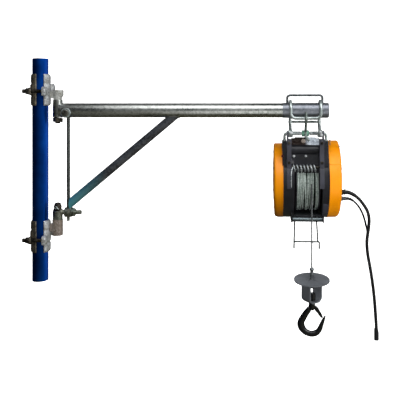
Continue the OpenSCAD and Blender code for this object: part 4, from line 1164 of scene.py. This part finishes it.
def turn_of_rope(front_x, lean, radius, steps=150, wander=0.0, phase=0.0):
    """One turn round the drum. It leans across the front from bottom to top, as the rope climbs."""
    path = []
    for i in range(steps + 1):
        a = 2 * math.pi * i / steps - math.pi
        x = front_x + lean * math.sin(a) + wander * math.sin(3 * a + phase)
        path.append((x, DRUM_Y - radius * math.cos(a), DRUM_Z + radius * math.sin(a)))
    return sweep(path, ROPE_R, 18, lobes=6, lobe_depth=0.75, lay=LAY, closed_ends=False, phase=phase)


under, upper = [], []
for i in range(13):
    under.append(turn_of_rope(807.0 + 5.15 * i, 1.1, 86.6, wander=0.3, phase=i))
TOP_TURNS = [(807.4, 0.2, 94.2), (812.9, 0.9, 91.8), (818.2, 1.7, 94.4), (823.4, -0.6, 91.4), (827.0, -7.6, 94.4),
             (830.6, -1.8, 90.8), (837.8, 0.8, 93.8), (843.4, 0.2, 91.6), (849.0, 0.4, 94.2), (854.0, -0.5, 91.2),
             (863.2, -1.6, 94.4), (869.0, -0.4, 91.6)]
for i, (x, lean, radius) in enumerate(TOP_TURNS):
    upper.append(turn_of_rope(x, lean, radius, wander=0.35, phase=2.1 * i))
barrel = lathe([(60.2, 804.3), (84.6, 804.3), (84.6, 871.7), (60.2, 871.7), (60.2, 804.3)], (0, DRUM_Y, DRUM_Z),
               (1, 0, 0), 96)
# The under layer is drawn in the darker rope: painted shade between the top turns.
piece("rope_turns_under", join(*under), "drum", FINISH["rope_painted_shade"])
piece("rope_turns_on_drum", join(*upper, barrel), "drum", FINISH["rope"], ["rope_winding"])
print("turns of rope:", len(under), "under", len(upper), "on top")

# %% [markdown]
# The straight fall of rope joins the drum to the hook. It is one straight sweep that rides on no body.

# %% Falling rope
ROPE_X = 849.0
fall = [(ROPE_X, 0, 305 - 2 * i) for i in range(129)] + [(ROPE_X, 0, 47.2)]
rope = piece("wire_rope_fall", sweep(fall, ROPE_R, 18, lobes=6, lobe_depth=0.75, lay=LAY), None,
             FINISH["rope_fall"], ["wire_rope"])
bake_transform(rope)

# %% [markdown]
# ## Ferrule, disc and bracket
# The rope ends in a loop whose ferrule is pressed shut. Under it a thin disc lifts the limit lever. A strap bent
# to a box holds the swivel.

# %% Hook block
ferrule = [(0, 47), (3.6, 47), (5.4, 45.8), (7.3, 43.2), (7.4, 41.0), (5.4, 38.8), (5.0, 31.6), (5.9, 30.2),
           (5.9, 21.0), (5.2, 19.6), (5.2, 14.8), (6.5, 13.6), (6.5, 12.2), (0, 12.2)]
piece("rope_ferrule_pressed", lathe(ferrule, (ROPE_X, 0, 0), (0, 0, 1), 32,
                                    wobble=lambda a, h: 1 - 0.10 * abs(math.sin(a)) * (20 < h < 40)),
      "hook_block", FINISH["grey_rod"], ["rope_ferrule"])
disc = softened("limit_disc", "dark_steel", FINISH["disc"], 0.9,
                screw_head((834, -6, 11.9), (0, 0, 1), 3.4), screw_head((858.5, -9, 11.9), (0, 0, 1), 3.4))
up, down = Matrix.Translation((0, 0, 0.010)), Matrix.Translation((0, 0, -0.010))
disc.data.transform(up @ Matrix.Rotation(math.radians(4.5), 4, "X") @ down)
piece("disc_clamp_nut", nut(17, 15.5, (ROPE_X, 0, -14.5), (0, 0, 1), 0.2), "hook_block",
      FINISH["hook_black"])
turn = math.radians(38)
fold = bent([(-23.6, 0, 6.9), (-23.6, 0, -46.6), (-13.6, 0, -55.6), (13.6, 0, -55.6), (23.6, 0, -46.6),
             (23.6, 0, 6.9)], 6, 8)


def folded_strap(line, half_depth, half_thick):
    """A flat strap that follows a folded line in the XZ plane."""
    points, faces = [], []
    for i, p in enumerate(line):
        along_line = (line[min(i + 1, len(line) - 1)] - line[max(i - 1, 0)]).normalized()
        out = Vector((along_line.z, 0, -along_line.x)) * half_thick
        for y, side in ((-half_depth, 1), (half_depth, 1), (half_depth, -1), (-half_depth, -1)):
            points.append(p + out * side + Vector((0, y, 0)))
    for i in range(len(line) - 1):
        faces += [(4 * i + k, 4 * i + (k + 1) % 4, 4 * i + 4 + (k + 1) % 4, 4 * i + 4 + k) for k in range(4)]
    faces += [(0, 3, 2, 1), tuple(len(points) - 4 + k for k in range(4))]
    return points, faces


strap = moved(folded_strap(fold, 19, 2.4), Matrix.Translation((ROPE_X, 0, 0)) @ Matrix.Rotation(turn, 4, "Z"))
cross = Vector((math.cos(turn), math.sin(turn), 0))
rivets = []
for side in (-1, 1):
    rivets.append(screw_head(Vector((ROPE_X, 0, -8)) + cross * side * 25.8, cross * side, 4.4))
piece("swivel_bracket_strap", join(strap, *rivets), "hook_block", FINISH["disc"],
      ["swivel_bracket"], bevel=0.8)
print("hook block done")

# %% [markdown]
# ## The hook
# A lifting hook is forged from one bar: thin at the shank and the tip, thickest at the left of its bowl, where
# the load bends it most, and flattened on both faces by the dies. A sweep along its centre line with a radius
# for each point gives all of that, and the flattening is one scaling.

# %% Hook
BOWL = Vector((ROPE_X, 0, -126))
RING = 30.5
line, girth = [], []
neck = [(-4, 51), (-11, 42), (-19.6, 31)]
for (x, z), r in zip(neck, (7.9, 8.6, 9.8)):
    line.append(Vector((x, 0, z)))
    girth.append(r)
for i in range(23):
    a = math.radians(150 + 146 * i / 22)
    t = i / 22
    wide = RING + 3.2 * bump(t, 0.2, 0.6)
    line.append(Vector((wide * math.cos(a), 0, RING * math.sin(a))))
    girth.append(9.2 + 2.3 * bump(t, 0.25, 0.45))
for x, z, r in ((18.0, -24.2, 8.8), (23.0, -18.2, 8.3), (26.4, -10.6, 7.6), (29.4, -2.6, 6.8), (32.4, 5.2, 5.9),
                (35.4, 12.4, 4.9), (38.2, 18.6, 3.7), (40.4, 23.4, 2.5), (41.6, 26.6, 1.2)):
    line.append(Vector((x, 0, z)))
    girth.append(r)
body = sweep([BOWL + p for p in line], girth, 28)
body = [Vector((p.x, p.y * 0.88, p.z)) for p in body[0]], body[1]
shank = [(0, -84), (6, -83.4), (9.0, -81), (10.4, -77), (10.5, -66), (9.6, -61), (8.4, -58.8), (6.9, -58.6),
         (6.9, -41), (6.2, -40.2), (0, -40.2)]
hook = piece("hook_forging", join(
    body,
    lathe(shank, (ROPE_X, 0, 0), (0, 0, 1), 40),
    nut(21, 21.0, (ROPE_X, 0, -52.4), (0, 0, 1), 0.3),
    lathe([(0, 0), (6, 0), (6.4, 0.8), (6.4, 12.2), (6, 13), (0, 13)], (ROPE_X + 16, 6.5, -82), (0, -1, 0), 28),
), "hook", FINISH["hook_black"], ["hook"])
smooth = hook.modifiers.new("forged_skin", "SUBSURF")
smooth.levels = smooth.render_levels = 1

# %% [markdown]
# The latch is folded from thin sheet: two cheeks on a pin and a tongue between them that closes the hook's mouth.

# %% Latch
pin, tongue = Vector((ROPE_X + 16, 0, -82)), Vector((ROPE_X + 31.6, 0, -104.6))
along = (tongue - pin).normalized()
across = Vector((along.z, 0, -along.x))
outline = []
for t, w in ((-0.42, 3.4), (-0.3, 4.6), (0.0, 5.2), (0.3, 5.0), (0.7, 4.4), (0.95, 3.2), (1.06, 1.2)):
    outline.append((t, w))
cheeks = []
for y0, y1 in ((-4.9, -3.7), (3.7, 4.9), (-3.8, 3.8)):
    tongue_only = y0 == -3.8
    ring = []
    for sign in (1, -1):
        for t, w in (outline if sign == 1 else reversed(outline)):
            if tongue_only and sign == -1:
                w = 1.6 - w
            if tongue_only and t < 0.18:
                t = 0.18
            ring.append(pin + along * (tongue - pin).length * t + across * sign * w)
    m = len(ring)
    pts = [p + Vector((0, y, 0)) for y in (y0, y1) for p in ring]
    fcs = [tuple(range(m)), tuple(reversed(range(m, 2 * m)))]
    fcs += [(k, m + k, m + (k + 1) % m, (k + 1) % m) for k in range(m)]
    cheeks.append((pts, fcs))
piece("hook_latch_folded", join(*cheeks, lathe([(0, -5.0), (1.9, -5.0), (1.9, 5.0), (0, 5.0)], pin, (0, 1, 0), 20)),
      "latch", FINISH["hook_black"], ["hook_latch"], bevel=0.4)
print("hook and latch forged; bowl", 2 * round(RING - 9.5), "mm across")

# %% [markdown]
# ## Studio
# The crane hangs over a pale sweep of paper. Zinc only looks like zinc when it mirrors both bright and dark
# things, so the room is dim to reflections while the camera sees it white. A soft light from the right models
# the hoist, a panel above the lens draws the white line along the arm, and the left stays dark. The photo's
# parts are lit unevenly, so several lamps light only the pieces named: the pole, the brace, the arm with its
# sleeve, or the covers, whose enamel would burn out under the fill that the black casings need. Two washes
# light only the paper.

# %% Floor and lights


def studio_paper():
    material, tree, shader, place = new_finish("studio_paper", Base_Color=linear("#FAFAFA"), Roughness=0.9,
                                                Emission_Color=linear("#FAFAFA"), Emission_Strength=0.6)
    fibre = add(tree, "ShaderNodeTexNoise", {"Vector": place, "Scale": 1 / 0.002, "Detail": 2.0})
    bumped(tree, shader, fibre.outputs["Fac"], 0.05, 0.0002)
    return material


def backdrop():
    front, back, floor_z, bend = -0.75, 2.4, -0.95, 1.2
    profile = [(front, floor_z), (back, floor_z)]
    profile += [(back + bend * math.sin(math.radians(a)), floor_z + bend - bend * math.cos(math.radians(a)))
                for a in range(10, 91, 10)]
    profile += [(back + bend, 4.0)]
    points = [Vector((x, y, z)) for x in (-4.0, 5.0) for y, z in profile]
    n = len(profile)
    faces = [(k, k + 1, n + k + 1, n + k) for k in range(n - 1)]
    mesh = bpy.data.meshes.new("studio_sweep")
    mesh.from_pydata([tuple(p) for p in points], [], faces)
    mesh.materials.append(studio_paper())
    mesh.shade_smooth()
    paper = bpy.data.objects.new("studio_sweep", mesh)
    bpy.context.scene.collection.objects.link(paper)
    paper.visible_glossy = False
    paper.visible_diffuse = False


def softbox(name, place, aim, size, watts, colour="#FFFFFF", mirrored=True, only=None):
    """A rectangular light that the camera doesn't see. With only, it lights just the pieces named."""
    light = bpy.data.lights.new(name, "AREA")
    light.shape = "RECTANGLE"
    light.size, light.size_y = size
    light.energy = watts
    light.color = linear(colour)[:3]
    lamp = bpy.data.objects.new(name, light)
    lamp.location = place
    lamp.visible_glossy = mirrored
    lamp.visible_camera = False
    lamp.rotation_mode = "QUATERNION"
    lamp.rotation_quaternion = (Vector(aim) - Vector(place)).to_track_quat("-Z", "Y")
    bpy.context.scene.collection.objects.link(lamp)
    if only:
        lit = bpy.data.collections.new(name + "_lights")
        for thing in only:
            lit.objects.link(bpy.data.objects[thing] if isinstance(thing, str) else thing)
        lamp.light_linking.receiver_collection = lit


def white_room():
    """White to the camera. What the crane mirrors is a dim workshop: olive floor, grey walls, darker to the left."""
    world = bpy.data.worlds.new("white_room")
    world.use_nodes = True
    tree = world.node_tree
    way = tree.nodes.new("ShaderNodeTexCoord").outputs["Generated"]
    part = add(tree, "ShaderNodeSeparateXYZ", {"Vector": way})
    height = spread(tree, part.outputs["Z"], 0.0, 1.0, -1.0, 1.0)
    walls = ramp(tree, height, [(0.0, "#86826C"), (0.42, "#A5A28C"), (0.5, "#8C9094"), (0.68, "#9FA6AC"),
                                (1.0, "#2C3033")])
    side = spread(tree, part.outputs["X"], 0.03, 0.62, -0.7, 0.7)
    dim = add(tree, "ShaderNodeBackground", {"Color": walls, "Strength": side})
    white = add(tree, "ShaderNodeBackground", {"Color": linear("#FFFFFF"), "Strength": 1.0})
    seen = add(tree, "ShaderNodeLightPath")
    both = add(tree, "ShaderNodeMixShader",
               {0: seen.outputs["Is Camera Ray"], 1: dim.outputs[0], 2: white.outputs[0]})
    tree.links.new(both.outputs[0], tree.nodes["World Output"].inputs["Surface"])
    bpy.context.scene.world = world


backdrop()
white_room()
MIDDLE = (0.5, 0.0, 0.35)
LENS, LENS_AIM = (0.95, -2.2, 0.45), (0.8, 0.0, 0.35)
CRANE = [thing for thing in bpy.data.objects if thing.type in ("MESH", "CURVE") and thing.name != "studio_sweep"]
REST = [thing for thing in CRANE if thing.name != "pole"]
softbox("key_right", (2.4, -1.0, 0.9), MIDDLE, (0.8, 1.6), 15, only=REST)
softbox("side_panel", (1.7, 0.6, 0.35), (0.0, 0.1, 0.35), (2.3, 1.6), 11, only=["pole"])
UNDER_PANEL = [thing for thing in CRANE if thing.name != "brace_tube"]
softbox("panel_above_lens", (0.92, -0.7, 1.55), (0.92, 0.0, 0.5), (1.96, 1.0), 17, only=UNDER_PANEL)
softbox("brace_panel", (0.5, -0.75, 1.55), (0.5, 0.0, 0.5), (2.6, 0.9), 3, only=["brace_tube"])
softbox("low_panel", (1.08, -1.35, -0.1), (1.08, -0.6, 0.6), (1.65, 1.4), 7, only=["arm_tube", "end_sleeve"])
softbox("fill_behind", (0.2, 2.3, 1.2), MIDDLE, (2.4, 1.6), 24, mirrored=False, only=REST)
COVERS = [orange_left, orange_right]
softbox("fill_at_lens", LENS, LENS_AIM, (1.0, 0.9), 31, mirrored=False,
        only=[thing for thing in REST if thing not in COVERS])
softbox("cover_fill", LENS, LENS_AIM, (1.0, 0.9), 11, mirrored=False, only=COVERS)
softbox("cover_top_fill", (0.75, -1.3, 1.3), (0.85, 0.0, 0.38), (0.8, 0.5), 10, mirrored=False, only=COVERS)
softbox("cover_low_fill", (1.0, -1.0, -0.25), (0.92, 0.0, 0.25), (0.5, 0.4), 7, mirrored=False, only=[orange_right])
softbox("brace_foot_light", (0.0, -0.45, 0.5), (0.13, 0.0, 0.28), (0.2, 0.2), 0.8, "#E4F8FF", mirrored=False,
        only=["brace_tube"])
for cover in COVERS:
    cover.visible_glossy = False
softbox("backdrop_wash", (0.3, 0.9, 3.0), (0.3, 3.2, 0.6), (5.0, 1.0), 260, mirrored=False, only=["studio_sweep"])
softbox("floor_wash", (0.5, 1.2, 2.4), (0.5, 0.9, -0.95), (3.5, 0.8), 90, mirrored=False, only=["studio_sweep"])
softbox("fill_back_left", (-1.6, 1.9, 0.9), (0.0, 0.0, 0.35), (1.0, 1.0), 12, mirrored=False, only=CRANE)
bpy.context.scene.view_settings.view_transform = "Standard"
